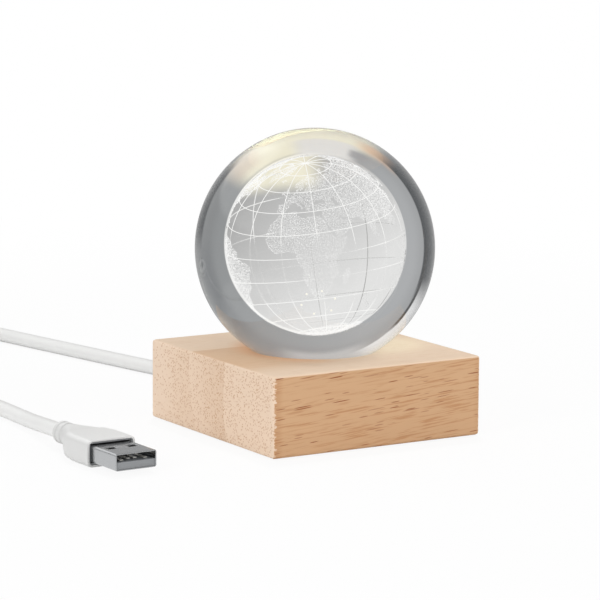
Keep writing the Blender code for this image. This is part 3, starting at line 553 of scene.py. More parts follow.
@dataclass(frozen=True)
class Etched(Finish):
    """Marks inside the glass: tiny cracks that scatter light, which the material gives as their own glow.

    Lengths are in millimetres from the globe's middle. The marks on its near side fade in the glare of the
    room and, where belt says so, between the belt's two heights. Those on its far side show in part.
    """

    strength: float = 1.0
    dimmest: float = 0.55
    far_level: float = 0.55
    far_cover: float = 0.7
    far_north: float = 0.0
    dark_side: float = 1.0
    glare: float = 0.0
    belt: float = 0.0
    belt_low: float = -9.5
    belt_high: float = 4.0
    pole_gain: float = 1.0
    middle: Vector = field(default_factory=Vector)
    towards: Vector = field(default_factory=lambda: Vector((0, -1, 0)))
    lit_from: Vector = field(default_factory=lambda: Vector((-0.70, 0.20, 0.68)))
    glare_at: tuple[float, float] = (4.0, -4.5)
    glare_reach: tuple[float, float] = (9.5, 6.5)

    def shade(self, graph: Graph) -> Wire:
        """Builds the marks.

        Args:
            graph: The material's nodes.

        Returns:
            The shader.
        """
        here = graph.place()
        right = UP.cross(self.towards).normalized()
        up = self.towards.cross(right)
        near, across, level, height, lit_side = (
            graph.along(here, axis) - self.middle.dot(axis) / MM
            for axis in (self.towards, right, up, UP, self.lit_from)
        )
        cloud = graph.noise(here, 0.09, 3.0, 0.6).rise(0.36, 0.60)
        grain = graph.noise(here, 4.0, 1.0)
        bright = (cloud * (1 - self.dimmest) + self.dimmest) * (grain * 0.3 + 0.85)
        # Painted light: the marks glow brighter on the side that faces lit_from and near the south pole.
        bright = bright * (lit_side.rise(-12.0, 10.0) * (1 - self.dark_side) + self.dark_side) * self.strength
        bright = bright * (height.rise(-12.0, -14.5) * (self.pole_gain - 1) + 1)
        front = near.rise(-5.0, -1.0)
        far = graph.blend(across.rise(-8.0, 4.0), grey(0.85), grey(self.far_level))
        glow = graph.blend(bright, DARK, graph.blend(front, far, WHITE))

        x = (across - self.glare_at[0]) / self.glare_reach[0]
        y = (level - self.glare_at[1]) / self.glare_reach[1]
        glare = (x * x + y * y).rise(1.7, 0.3) * front * self.glare
        high = height.rise(self.belt_high - 3, self.belt_high)
        low = height.rise(self.belt_low, self.belt_low - 2)
        hidden = (1 - high.math("MAXIMUM", low)) * front * self.belt
        crossing = height.rise(-3.0, 1.0) * across.rise(-4.0, -7.0) * self.far_north
        south = height.rise(4.5, 1.5) * height.rise(-14.5, -9.0) * across.rise(12.5, 11.0)
        shown = (across.rise(-10.0, 0.0) * south * self.far_cover).math("MAXIMUM", crossing)
        behind = (1 - front) * (1 - shown)
        return graph.shader(
            Base_Color=graph.blend(grain, DARK, grey(0.01)),
            Roughness=grain * 0.1 + 0.8,
            Specular_IOR_Level=0.0,
            Emission_Color=graph.blend(1.0, glow, self.colour, "MULTIPLY"),
            Emission_Strength=1.0,
            Alpha=(1 - glare) * (1 - hidden) * (1 - behind),
        )


@dataclass(frozen=True)
class LampFace(Finish):
    """A surface-mount lamp: a pale body whose dish glows."""

    glow: Colour = (1.0, 0.86, 0.55)
    strength: float = 4.0
    lit_above: float = 14.4

    def shade(self, graph: Graph) -> Wire:
        """Builds the lamp's body and its lit dish.

        Args:
            graph: The material's nodes.

        Returns:
            The shader.
        """
        at = graph.place()
        _, _, up = graph.axes(at)
        _, _, level = graph.facing()
        lit = level.rise(0.6, 0.95) * up.rise(self.lit_above - 0.3, self.lit_above)
        grit = graph.noise(at, 2.0)
        return graph.shader(
            Base_Color=graph.blend(grit, self.colour, toned(self.colour, 0.9)),
            Roughness=grit * 0.2 + self.roughness,
            Emission_Color=graph.blend(lit, DARK, self.glow),
            Emission_Strength=self.strength,
        )


@dataclass(frozen=True)
class Napped(Finish):
    """Woven strap with a soft nap."""

    def shade(self, graph: Graph) -> Wire:
        """Builds the weave.

        Args:
            graph: The material's nodes.

        Returns:
            The shader.
        """
        at = graph.place()
        nap = graph.noise(at, 3.0, 3.0, 0.7)
        weave = graph.wire("TexWave", "Fac", Vector=at, Scale=1.6, Distortion=1.5, Detail=2.0)
        cloth = weave * 0.5 + nap * 0.5
        return graph.shader(
            Base_Color=graph.blend(cloth, toned(self.colour, 0.5), self.colour),
            Roughness=nap * 0.2 + self.roughness,
            Normal=graph.bump(cloth, self.depth * MM),
        )


GLASS = ClearGlass("crystal", WHITE)
# The given colour is the long faces' tan, painted darker than the top as shade.
BEECH = Hardwood("beech", (0.648, 0.400, 0.226), 0.5, depth=0.05, specular=0.2)
RUBBER = Finish("rubber", grey(0.035), 0.75, grain=0.3, depth=0.03, specular=0.3)
COVER_BOARD = Finish("cover_board", (0.045, 0.045, 0.047), 0.6, grain=0.25, depth=0.02)
SCREW_STEEL = Metal("screw_steel", (0.55, 0.56, 0.58), 0.35, depth=0.01)
LAMINATE = Finish("white_laminate", (0.82, 0.80, 0.72), 0.45, depth=0.008)
LAMP_BODY = LampFace("lamp_body", (0.90, 0.88, 0.78), 0.4)
RESISTOR = Finish("resistor_body", grey(0.03), 0.5)
JACKET = Finish("cord_jacket", (0.80, 0.80, 0.79), 0.42, mottle=0.02, grain=0.35, depth=0.006)
RED = Finish("red_insulation", (0.60, 0.03, 0.02), 0.45)
BLACK = Finish("black_insulation", grey(0.02), 0.45)
NYLON = Finish("nylon_tie", (0.80, 0.80, 0.78), 0.4, mottle=0.03)
STRAP = Napped("strap", grey(0.07), 0.75, depth=0.12)
PLUG_PLASTIC = Finish(
    "plug_plastic",
    (0.84, 0.84, 0.83),
    0.38,
    mottle=0.02,
    grain=0.3,
    depth=0.008,
    # Painted shade: the grip's lower sides and its two neck grooves are darkened.
    shaded_below=7.6,
    shade_share=0.20,
    grooves=(5.5, 7.8),
)
SHELL_STEEL = Metal("shell_steel", (0.54, 0.55, 0.56), 0.2, mottle=0.16, depth=0.006, edge=0.6)
COLLAR_STEEL = Finish("collar_steel", (0.30, 0.31, 0.32), 0.4)
TONGUE = Finish("tongue_plastic", (0.16, 0.17, 0.18), 0.5)
TONGUE_LIP = Finish("tongue_lip", (0.27, 0.28, 0.29), 0.5)
GOLD = Metal("contact_gold", (0.94, 0.92, 0.86), 0.45, metallic=0.5)
PARALLEL_MARKS = Etched(
    "engraved_parallel",
    (1.0, 1.0, 0.98),
    strength=1.25,
    dimmest=0.8,
    far_cover=0.35,
    far_north=0.85,
    dark_side=0.85,
    glare=0.85,
    pole_gain=1.3,
)
MERIDIAN_MARKS = replace(PARALLEL_MARKS, name="engraved_meridian", far_level=0.45, far_cover=0.7, belt=0.85)
LAND_MARKS = Etched(
    "engraved_land",
    (1.0, 1.0, 0.99),
    strength=1.15,
    dimmest=0.8,
    far_level=0.85,
    far_cover=0.3,
    dark_side=0.8,
    glare=0.35,
    pole_gain=1.4,
)
LAMP_GLINT = Etched("lamp_glint", (1.0, 0.97, 0.86), strength=1.3, dimmest=1.0, far_level=1.0, far_cover=1.0)

REPEATED_PARTS = (
    ("foot", 4, RUBBER),
    ("cover_screw", 4, SCREW_STEEL),
    ("board_screw", 2, SCREW_STEEL),
    ("led", 6, LAMP_BODY),
    ("resistor", 2, RESISTOR),
    ("plug_contact", 4, GOLD),
)
NODE_FINISHES: dict[str, Finish] = {
    "bottom_cover": COVER_BOARD,
    "led_board": LAMINATE,
    "wire_positive": RED,
    "wire_negative": BLACK,
    "cord_tail": JACKET,
    "cord_stop_tie": NYLON,
    "cord_bush": PLUG_PLASTIC,
    "plug_tongue": TONGUE,
    **{f"{name}_{k}": finish for name, count, finish in REPEATED_PARTS for k in range(1, count + 1)},
}


def new_piece(
    name: str, data: bpy.types.ID, finish: Finish, body: Body, replaced: Iterable[str] = ()
) -> bpy.types.Object:
    """Adds a piece that rides on a body.

    Args:
        name: Its name.
        data: Its mesh or curve, already in place.
        finish: Its finish.
        body: The body that it rides on.
        replaced: CAD nodes that it stands for.

    Returns:
        The piece.
    """
    piece = placed(name, data)
    data.materials.clear()
    data.materials.append(finish.material())
    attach(piece, body.value)
    if replaced:
        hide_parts(*replaced)
    LOG.info("%s: %s, rides on %s", name, piece.type.lower(), body.value)
    return piece


def as_mesh(name: str, shape: bmesh.types.BMesh) -> bpy.types.Mesh:
    """Turns a bmesh into a smooth mesh whose sharp edges stay sharp.

    Args:
        name: The mesh's name.
        shape: The bmesh, which is freed.

    Returns:
        The mesh.
    """
    bmesh.ops.recalc_face_normals(shape, faces=shape.faces)
    mesh = bpy.data.meshes.new(name)
    shape.to_mesh(mesh)
    shape.free()
    mesh.shade_smooth()
    mesh.set_sharp_from_angle(angle=SHARP_ANGLE)
    return mesh


def refined(node: str, finish: Finish) -> bpy.types.Object:
    """A smooth-shaded copy of one of the base body's CAD nodes, which it replaces.

    Args:
        node: The node.
        finish: The copy's finish.

    Returns:
        The copy.
    """
    shape = bmesh.new()
    shape.from_mesh(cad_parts[node].data)
    bmesh.ops.remove_doubles(shape, verts=shape.verts, dist=MERGE_DISTANCE)
    bmesh.ops.dissolve_limit(shape, angle_limit=FLAT_ANGLE, verts=shape.verts, edges=shape.edges)
    piece = new_piece(f"{node}_dressed", as_mesh(node, shape), finish, Body.BASE, [node])
    piece.modifiers.new("even shading", "WEIGHTED_NORMAL").keep_sharp = True
    return piece


@dataclass(frozen=True)
class Card:
    """A soft-edged card or glow in the room, which the glass shows upside down.

    Angles are in degrees: off the camera's line of sight, and round it anticlockwise from the right, as the
    glass shows the card.
    """

    name: str
    colour: Colour
    near: float
    far: float
    side: float
    half_spread: float
    soft: float = 2.0
    side_soft: float = 5.0
    opacity: float = 1.0

    def mask(self, off_axis: Wire, side: Wire) -> Wire:
        """How far the card covers the room.

        Args:
            off_axis: Angle off the line of sight.
            side: Angle round it.

        Returns:
            The share.
        """
        rings = off_axis.rise(self.near - self.soft, self.near + self.soft)
        rings = rings * off_axis.rise(self.far + self.soft, self.far - self.soft)
        outer, inner = self.half_spread + self.side_soft, self.half_spread - self.side_soft
        return rings * side.off(self.side).rise(outer, inner) * self.opacity


BLACK_CLOTH: Colour = (0.005, 0.01, 0.015)
CARDS = (
    Card("lit table, near", (0.93, 0.89, 0.70), 38, 74, 117, 21, 3, 8, 0.92),
    Card("lit table, far", (0.97, 0.94, 0.76), 50, 110, 92, 34, 5, 9, 0.95),
    Card("white sill", (0.84, 0.83, 0.80), 37, 53, 84, 17, 1.5, 6, 0.9),
    Card("grey sill", (0.34, 0.34, 0.35), 40.5, 47, 66, 4, 1.5, 2.5, 0.8),
    Card("warm wood, right", (0.80, 0.50, 0.30), 52, 66, 55, 11, 4, 6, 0.7),
    Card("warm wood, left", (0.60, 0.45, 0.37), 44, 70, 132, 8, 6, 6, 0.5),
    Card("white flag", grey(0.88), 58, 120, -38, 32, 1.2, 8),
    Card("black flag", BLACK_CLOTH, 53.6, 100, 14, 38, 1.2, 10),
    Card("black edge", grey(0.01), 55.6, 59.4, -22, 24, 0.7, 5),
    Card("black strip", BLACK_CLOTH, 61.5, 98, 156, 21, 2, 8),
    Card("dim corner", (0.18, 0.19, 0.20), 48, 64, 204, 22, 5, 14, 0.75),
    Card("pale ceiling", grey(0.60), 50, 110, 275, 20, 4, 9, 0.8),
)


@dataclass
class Studio:
    """Pale floor, soft lights, surroundings and the camera."""

    focal: float = 192.0
    sensor: float = 36.0
    yaw: float = math.radians(-31.57)
    pitch: float = math.radians(9.36)
    roll: float = math.radians(0.42)
    distance: float = 868.23 * MM
    aim_across: float = -3.9325 * MM
    aim_height: float = 34.986 * MM
    floor_radius: float = 420 * MM
    floor_fade: float = 260 * MM
    shadow_share: float = 0.10
    room_light: float = 0.62
    mirrored_light: float = 0.48
    window_light: float = 1.2
    globe_rise: float = 3.3
    plug_at: tuple[float, float] = (-80 * MM, -15 * MM)
    plug_ring: tuple[float, float] = (90 * MM, 60 * MM)
    plug_floor: float = 0.95
    aim: Vector = field(default_factory=lambda: Vector((0, 0, 30)) * MM)
    lamps: tuple[tuple[str, Triple, float, float], ...] = (
        # name, place and width in metres, then power in watts
        ("overhead", (0.157, 0.255, 0.878), 0.1, 2.0),
        ("left", (-0.95, -0.25, 0.33), 0.5, 3.4),
        ("front", (0.35, -0.95, 0.33), 0.7, 2.8),
    )
    glow_at: Vector = field(default_factory=lambda: Vector((120, 60, 200)) * MM)
    glow_colour: Colour = (0.62, 1.0, 0.85)
    glow_spots: tuple[tuple[float, float, float, float], ...] = (
        # x and y of the spot's middle in millimetres, then its cone in degrees and its power in watts
        (18.0, -6.0, 7.5, 0.5),
        (14.0, 23.0, 11.0, 2.6),
    )
    wood_top: float = 22 * MM

    def axes(self) -> tuple[Vector, Vector, Vector]:
        """The camera's right, up and forward directions."""
        level = Vector((math.cos(self.yaw), math.sin(self.yaw), 0))
        ahead = Vector((-math.sin(self.yaw), math.cos(self.yaw), 0)) * math.cos(self.pitch)
        ahead.z = -math.sin(self.pitch)
        upright = level.cross(ahead)
        right = level * math.cos(self.roll) + upright * math.sin(self.roll)
        return right, right.cross(ahead), ahead

    def add_camera(self) -> None:
        """Adds the camera at the photograph's viewing angle."""
        right, up, ahead = self.axes()
        lens = bpy.data.cameras.new("camera")
        lens.lens = self.focal
        lens.sensor_width = self.sensor
        lens.clip_start = 10 * MM
        camera = placed("camera", lens)
        aim = Vector((math.cos(self.yaw), math.sin(self.yaw), 0)) * self.aim_across
        aim.z = self.aim_height
        at = aim - ahead * self.distance
        turn = Matrix((right, up, -ahead)).transposed()
        camera.matrix_world = Matrix.LocRotScale(at, turn.to_quaternion(), None)
        bpy.context.scene.camera = camera

    def add_floor(self) -> None:
        """Adds the floor: white, with no more than a faint shadow."""
        shape = bmesh.new()
        bmesh.ops.create_circle(shape, cap_ends=True, radius=self.floor_radius, segments=96)
        floor = placed("floor", as_mesh("floor", shape))
        paint = bpy.data.materials.new("floor")
        graph = Graph(paint)
        x, y, _ = graph.axes(graph.wire("TexCoord", "Object"))
        camera, glossy, glassy = graph.rays("Camera", "Glossy", "Transmission")
        full_shadow = self.floor_radius - self.floor_fade
        shadow = x.diagonal(y).rise(self.floor_radius, full_shadow) * self.shadow_share
        matt = graph.wire("BsdfDiffuse", 0, Color=grey(0.9))
        from_plug = (x - self.plug_at[0]).diagonal(y - self.plug_at[1])
        pale = graph.blend(from_plug.rise(*self.plug_ring), grey(self.mirrored_light), grey(self.plug_floor))
        white = graph.wire("Emission", 0, Color=graph.blend(glossy, WHITE, pale))
        seen = camera.math("MAXIMUM", glossy) * (1 - shadow)
        graph.shown(graph.layered(glassy, graph.layered(seen, matt, white), graph.wire("BsdfTransparent", 0)))
        floor.data.materials.append(paint)

    def add_surroundings(self) -> None:
        """Lights all round evenly. The camera sees white, and the glass a grey room with its cards."""
        world = bpy.data.worlds.new("surroundings")
        bpy.context.scene.world = world
        graph = Graph(world)
        right, up, ahead = self.axes()
        heading = graph.wire("TexCoord", "Generated")
        aside, above = graph.along(heading, right), graph.along(heading, up)
        off_axis = graph.along(heading, ahead).math("ARCCOSINE") * (180 / math.pi)
        side = (above * -1).math("ARCTAN2", aside * -1) * (180 / math.pi)
        camera, mirrored, through = graph.rays("Camera", "Glossy", "Transmission")
        room = graph.blend((above * 0.3 - aside).rise(-0.9, 0.9), (0.27, 0.28, 0.285), (0.42, 0.43, 0.44))
        room = graph.blend(off_axis.rise(40, 53) * 0.18, room, grey(0.05))
        level = (above * 0.38 - aside * 0.30 + 0.63).math("MINIMUM", 0.79)
        sweep = graph.blend(level, DARK, (1.0, 1.0, 0.99))
        lamp_share = above.rise(-0.28, -0.40) * side.off(121).rise(42, 20) * 0.92
        sweep = graph.blend(lamp_share, sweep, (0.92, 0.88, 0.70))
        off_globe = off_axis + above * self.globe_rise
        hem = off_globe.rise(34.3, 35.3) * side.off(192).rise(125, 90) * 0.8
        sweep = graph.blend(hem, sweep, (0.97, 0.97, 0.95))
        colour = graph.blend(off_globe.rise(36.7, 35.9) * through, room, sweep)
        for card in CARDS:
            colour = graph.blend(card.mask(off_axis, side) * through, colour, card.colour)
        _, _, steep = graph.axes(heading)
        window = steep.rise(0.24, 0.34) * steep.rise(0.85, 0.75) * aside.rise(-0.22, -0.34)
        lit = graph.blend(window, grey(self.mirrored_light), grey(self.window_light))
        colour = graph.blend(mirrored * (1 - through), colour, lit)
        colour = graph.blend(mirrored.math("MAXIMUM", through), grey(self.room_light), colour)
        colour = graph.blend(camera, colour, WHITE)
        graph.shown(graph.wire("Background", "Background", Color=colour, Strength=1.0), world=True)

    def add_light(self, light: bpy.types.Light, at: Vector, aim: Vector) -> None:
        """Places a light that the glass and the metal don't mirror.

        Args:
            light: The light.
            at: Its place.
            aim: The point that it faces.
        """
        lamp = placed(light.name, light)
        lamp.location = at
        lamp.rotation_mode = "QUATERNION"
        lamp.rotation_quaternion = (aim - at).to_track_quat("-Z", "Y")
        lamp.visible_glossy = False
        lamp.visible_transmission = False

    def add_lamps(self) -> None:
        """Adds the soft lamps that stand round the object."""
        for name, at, size, power in self.lamps:
            light = bpy.data.lights.new(name, "AREA")
            light.shape = "DISK"
            light.size = size
            light.energy = power
            self.add_light(light, Vector(at), self.aim)

    def add_glow(self) -> None:
        """Adds the light that the ball gathers on the wood to its right and behind it."""
        for number, (x, y, cone, power) in enumerate(self.glow_spots, 1):
            light = bpy.data.lights.new(f"glow_{number}", "SPOT")
            light.energy = power
            light.color = self.glow_colour
            light.spot_size = math.radians(cone)
            light.spot_blend = 0.7
            light.shadow_soft_size = 4 * MM
            self.add_light(light, self.glow_at, Vector((x * MM, y * MM, self.wood_top)))

    def build(self) -> None:
        """Sets up the studio."""
        bpy.context.scene.view_settings.view_transform = "Standard"
        self.add_camera()
        self.add_floor()
        self.add_surroundings()
        self.add_lamps()
        self.add_glow()
        LOG.info("studio: camera, floor, surroundings, %d lamps and the ball's glow", len(self.lamps))


@dataclass
class Lead:
    """The white lead: over the table to a coil out of view, and on to its plug."""

    diameter: float = 4.2 * MM
    rest: float = 2.2 * MM
    exit: Vector = field(default_factory=lambda: Vector((0, 32.5, 6.775)) * MM)
    neck: Vector = field(default_factory=lambda: Vector((-72.229, 9.787, 4.2)) * MM)
    plug_heading: float = PLUG_HEADING
    point_spacing: float = 8.4 * MM
    coil_centre: Vector = field(default_factory=lambda: Vector((-53.0, 181.0)) * MM)
    coil_turns: float = 5.5
    coil_pitch: float = 4.8 * MM
    coil_inner: float = 18.6 * MM
    coil_start: float = math.radians(15)
    coil_climb: float = 0.5
    coil_reversal: float = 0.08
    coil_points: int = 24
    tie_angle: float = math.radians(105)
    tie_hump: float = math.radians(40)
    tie_lift: float = 1.4 * MM
    curve_steps: int = 24
    lamp_stations: tuple[Triple, ...] = (
        # x and y in millimetres, then the share of the exit's height
        (0.0, 41.0, 0.98),
        (0.0, 50.0, 0.81),
        (0.0, 59.0, 0.56),
        (-0.1, 68.5, 0.29),
        (-0.5, 78.5, 0.09),
        (-1.7, 89.4, 0.0),
        (-4.5, 102.7, 0.0),
        (-7.3, 116.7, 0.0),
        (-10.1, 131.0, 0.0),
        (-13.0, 145.6, 0.0),
        (-15.8, 160.4, 0.0),
        (-18.3, 172.8, 0.0),
    )
    plug_stations: tuple[tuple[float, float, float, float], ...] = (
        # x and y in millimetres, then the shares of the coil's and the neck's heights
        (-79.9, 158.0, 0.83, 0.0),
        (-77.0, 146.0, 0.44, 0.0),
        (-74.2, 133.0, 0.10, 0.0),
        (-71.6, 118.0, 0.0, 0.0),
        (-69.6, 102.0, 0.0, 0.0),
        (-68.4, 86.0, 0.0, 0.0),
        (-67.8, 70.0, 0.0, 0.0),
        (-67.7, 55.1, 0.0, 0.0),
        (-67.9, 47.2, 0.0, 0.0),
        (-68.5, 39.0, 0.0, 0.06),
        (-69.5, 30.0, 0.0, 0.27),
        (-71.0, 20.3, 0.0, 0.70),
    )

    def coil_point(self, turn: float) -> Vector:
        """A point of the coil: in along its bottom layer, up where the spiral reverses, and out above it.

        Args:
            turn: How many turns in.

        Returns:
            The point.
        """
        from_middle = turn - self.coil_turns / 2
        angle = self.coil_start + math.tau * turn
        radius = self.coil_inner + self.coil_pitch * math.hypot(from_middle, self.coil_reversal)
        share = min(max(from_middle / self.coil_climb + 0.5, 0), 1)
        layer = share * share * (3 - 2 * share)
        from_tie = (angle - self.tie_angle + math.pi) % math.tau - math.pi
        hump = math.cos(min(abs(from_tie) / self.tie_hump, 1) * math.pi / 2) ** 2
        height = self.rest + self.coil_pitch * layer + self.tie_lift * hump
        outward = Vector((math.cos(angle), math.sin(angle))) * radius
        return Vector((*(self.coil_centre + outward), height))

    def coil(self) -> tuple[list[Vector], Vector, Vector]:
        """The coil's points, with a short straight end before and after its turns, and both headings."""
        count = round(self.coil_turns * self.coil_points)
        turns = [self.coil_point(self.coil_turns * k / count) for k in range(count + 1)]
        nudge = 1 / self.coil_points**2
        heading_in = (self.coil_point(nudge) - turns[0]).to_2d().to_3d().normalized()
        heading_out = (turns[-1] - self.coil_point(self.coil_turns - nudge)).to_2d().to_3d().normalized()
        first = turns[0] - heading_in * self.diameter
        last = turns[-1] + heading_out * self.diameter
        return [first, *turns, last], heading_in, heading_out

    def run(self, stations: list[Vector], heading_in: Vector, heading_out: Vector) -> list[Vector]:
        """Evenly spaced points along the smooth curve through the stations.

        Args:
            stations: Points that the cord passes through.
            heading_in: Its direction at the first.
            heading_out: Its direction at the last.

        Returns:
            The points.
        """
        before = stations[0] - heading_in * (stations[1] - stations[0]).length
        after = stations[-1] + heading_out * (stations[-1] - stations[-2]).length
        padded = [before, *stations, after]
        fine = []
        for p, q, r, s in zip(padded, padded[1:], padded[2:], padded[3:]):
            for k in range(self.curve_steps):
                t = k / self.curve_steps
                bend, swing = s - p + (q - r) * 3, p * 2 - q * 5 + r * 4 - s
                fine.append(q + (r - p) * (t / 2) + swing * (t * t / 2) + bend * (t**3 / 2))
        fine.append(stations[-1])
        line = np.array(fine)
        reach = np.concatenate([[0], np.cumsum(np.linalg.norm(np.diff(line, axis=0), axis=1))])
        stops = np.linspace(0, reach[-1], round(reach[-1] / self.point_spacing) + 1)
        return [Vector([float(np.interp(stop, reach, line[:, axis])) for axis in range(3)]) for stop in stops]

    def route(self) -> list[Vector]:
        """The whole cord's points, from the back of the base to the plug's neck."""
        coil, heading_in, heading_out = self.coil()
        high, low = self.exit.z - self.rest, self.rest
        lamp = [Vector((x * MM, y * MM, low + share * high)) for x, y, share in self.lamp_stations]
        lamp = self.run([self.exit, *lamp, coil[0]], Vector((0, 1, 0)), heading_in)
        plug = []
        for x, y, start_share, end_share in self.plug_stations:
            height = low + start_share * (coil[-1].z - low) + end_share * (self.neck.z - low)
            plug.append(Vector((x * MM, y * MM, height)))
        heading = Vector((math.cos(self.plug_heading), math.sin(self.plug_heading), 0))
        plug = self.run([coil[-1], *plug, self.neck], heading_out, heading)
        return [*lamp[:-1], *coil, *plug[1:]]

    def build(self, with_pieces: list[bpy.types.Object | str]) -> None:
        """Args:
            with_pieces: Not used.
        """
        points = self.route()
        line = bpy.data.curves.new("cord", "CURVE")
        line.dimensions = "3D"
        line.bevel_depth = self.diameter / 2
        line.bevel_resolution = 5
        line.use_fill_caps = True
        line.resolution_u = 3
        spline = line.splines.new("BEZIER")
        spline.bezier_points.add(len(points) - 1)
        for control, point in zip(spline.bezier_points, points):
            control.co = point
            control.handle_left_type = control.handle_right_type = "AUTO"
        length = sum((far - near).length for near, far in zip(points, points[1:]))
        replaced = ("cord_run_lamp", "cord_coil", "cord_run_plug")
        cord = new_piece("cord", line, JACKET, Body.BASE, replaced)
        cord.visible_transmission = False
        LOG.info("cord: %.3f m, %d points", length, len(points))


@dataclass
class PlugTrim:
    """The finer parts of the plug: the collar round its shell and the front lip of its tongue."""

    mouth: Vector = field(default_factory=lambda: Vector((-71.2, -29.6, 3.7)) * MM)
    heading: float = PLUG_HEADING
    collar_size: Vector = field(default_factory=lambda: Vector((0.4, 12.9, 5.9)) * MM)
    collar_back: float = 13.15 * MM
    collar_width: float = 0.42 * MM
    lip_size: Vector = field(default_factory=lambda: Vector((1.2, 11.36, 1.9)) * MM)
    lip_back: float = 0.8 * MM
    lip_level: float = -1.0 * MM
    edge: float = 0.08 * MM

    def slab(self, size: Vector) -> bmesh.types.BMesh:
        """Makes a block with softened edges.

        Args:
            size: Its length, width and height.

        Returns:
            The block.
        """
        shape = bmesh.new()
        bmesh.ops.create_cube(shape, size=1.0, matrix=Matrix.Diagonal((*size, 1.0)))
        bmesh.ops.bevel(shape, geom=shape.edges, offset=self.edge, segments=2, profile=0.5, affect="EDGES")
        return shape

    def add(
        self, name: str, shape: bmesh.types.BMesh, back: float, level: float, finish: Finish
    ) -> bpy.types.Object:
        """Sets a part on the plug's axis.

        Args:
            name: The piece's name.
            shape: The part, about its own middle.
            back: Its middle's distance behind the shell's mouth.
            level: Its middle's height above the axis.
            finish: Its finish.

        Returns:
            The piece.
        """
        at = Matrix.Translation(self.mouth) @ Matrix.Rotation(self.heading, 4, "Z")
        bmesh.ops.transform(shape, matrix=at @ Matrix.Translation((-back, 0, level)), verts=shape.verts)
        return new_piece(name, as_mesh(name, shape), finish, Body.BASE)

    def build(self) -> list[bpy.types.Object]:
        """Makes the parts.

        Returns:
            The pieces.
        """
        collar = self.slab(self.collar_size)
        ends = [face for face in collar.faces if abs(face.normal.x) > 0.99]
        bmesh.ops.inset_individual(collar, faces=ends, thickness=self.collar_width)
        rims = list(dict.fromkeys(edge for face in ends for edge in face.edges))
        bmesh.ops.delete(collar, geom=ends, context="FACES_ONLY")
        bmesh.ops.bridge_loops(collar, edges=rims)
        lip = self.slab(self.lip_size)
        return [
            self.add("shell_collar", collar, self.collar_back, 0.0, COLLAR_STEEL),
            self.add("tongue_lip", lip, self.lip_back, self.lip_level, TONGUE_LIP),
        ]


@dataclass
class Ball:
    """The solid glass ball."""

    diameter: float = 65.0 * MM
    subdivisions: int = 7

    def centre(self) -> Vector:
        """The ball's middle, from the CAD node that it replaces."""
        low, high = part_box("crystal_ball")
        return (low + high) / 2

    def build(self) -> None:
        """Makes the ball."""
        shape = bmesh.new()
        bmesh.ops.create_icosphere(shape, subdivisions=self.subdivisions, radius=self.diameter / 2)
        bmesh.ops.translate(shape, vec=self.centre(), verts=shape.verts)
        mesh = as_mesh("crystal_ball_glass", shape)
        ball = new_piece(mesh.name, mesh, GLASS, Body.BALL, ["crystal_ball"])
        ball.visible_shadow = False


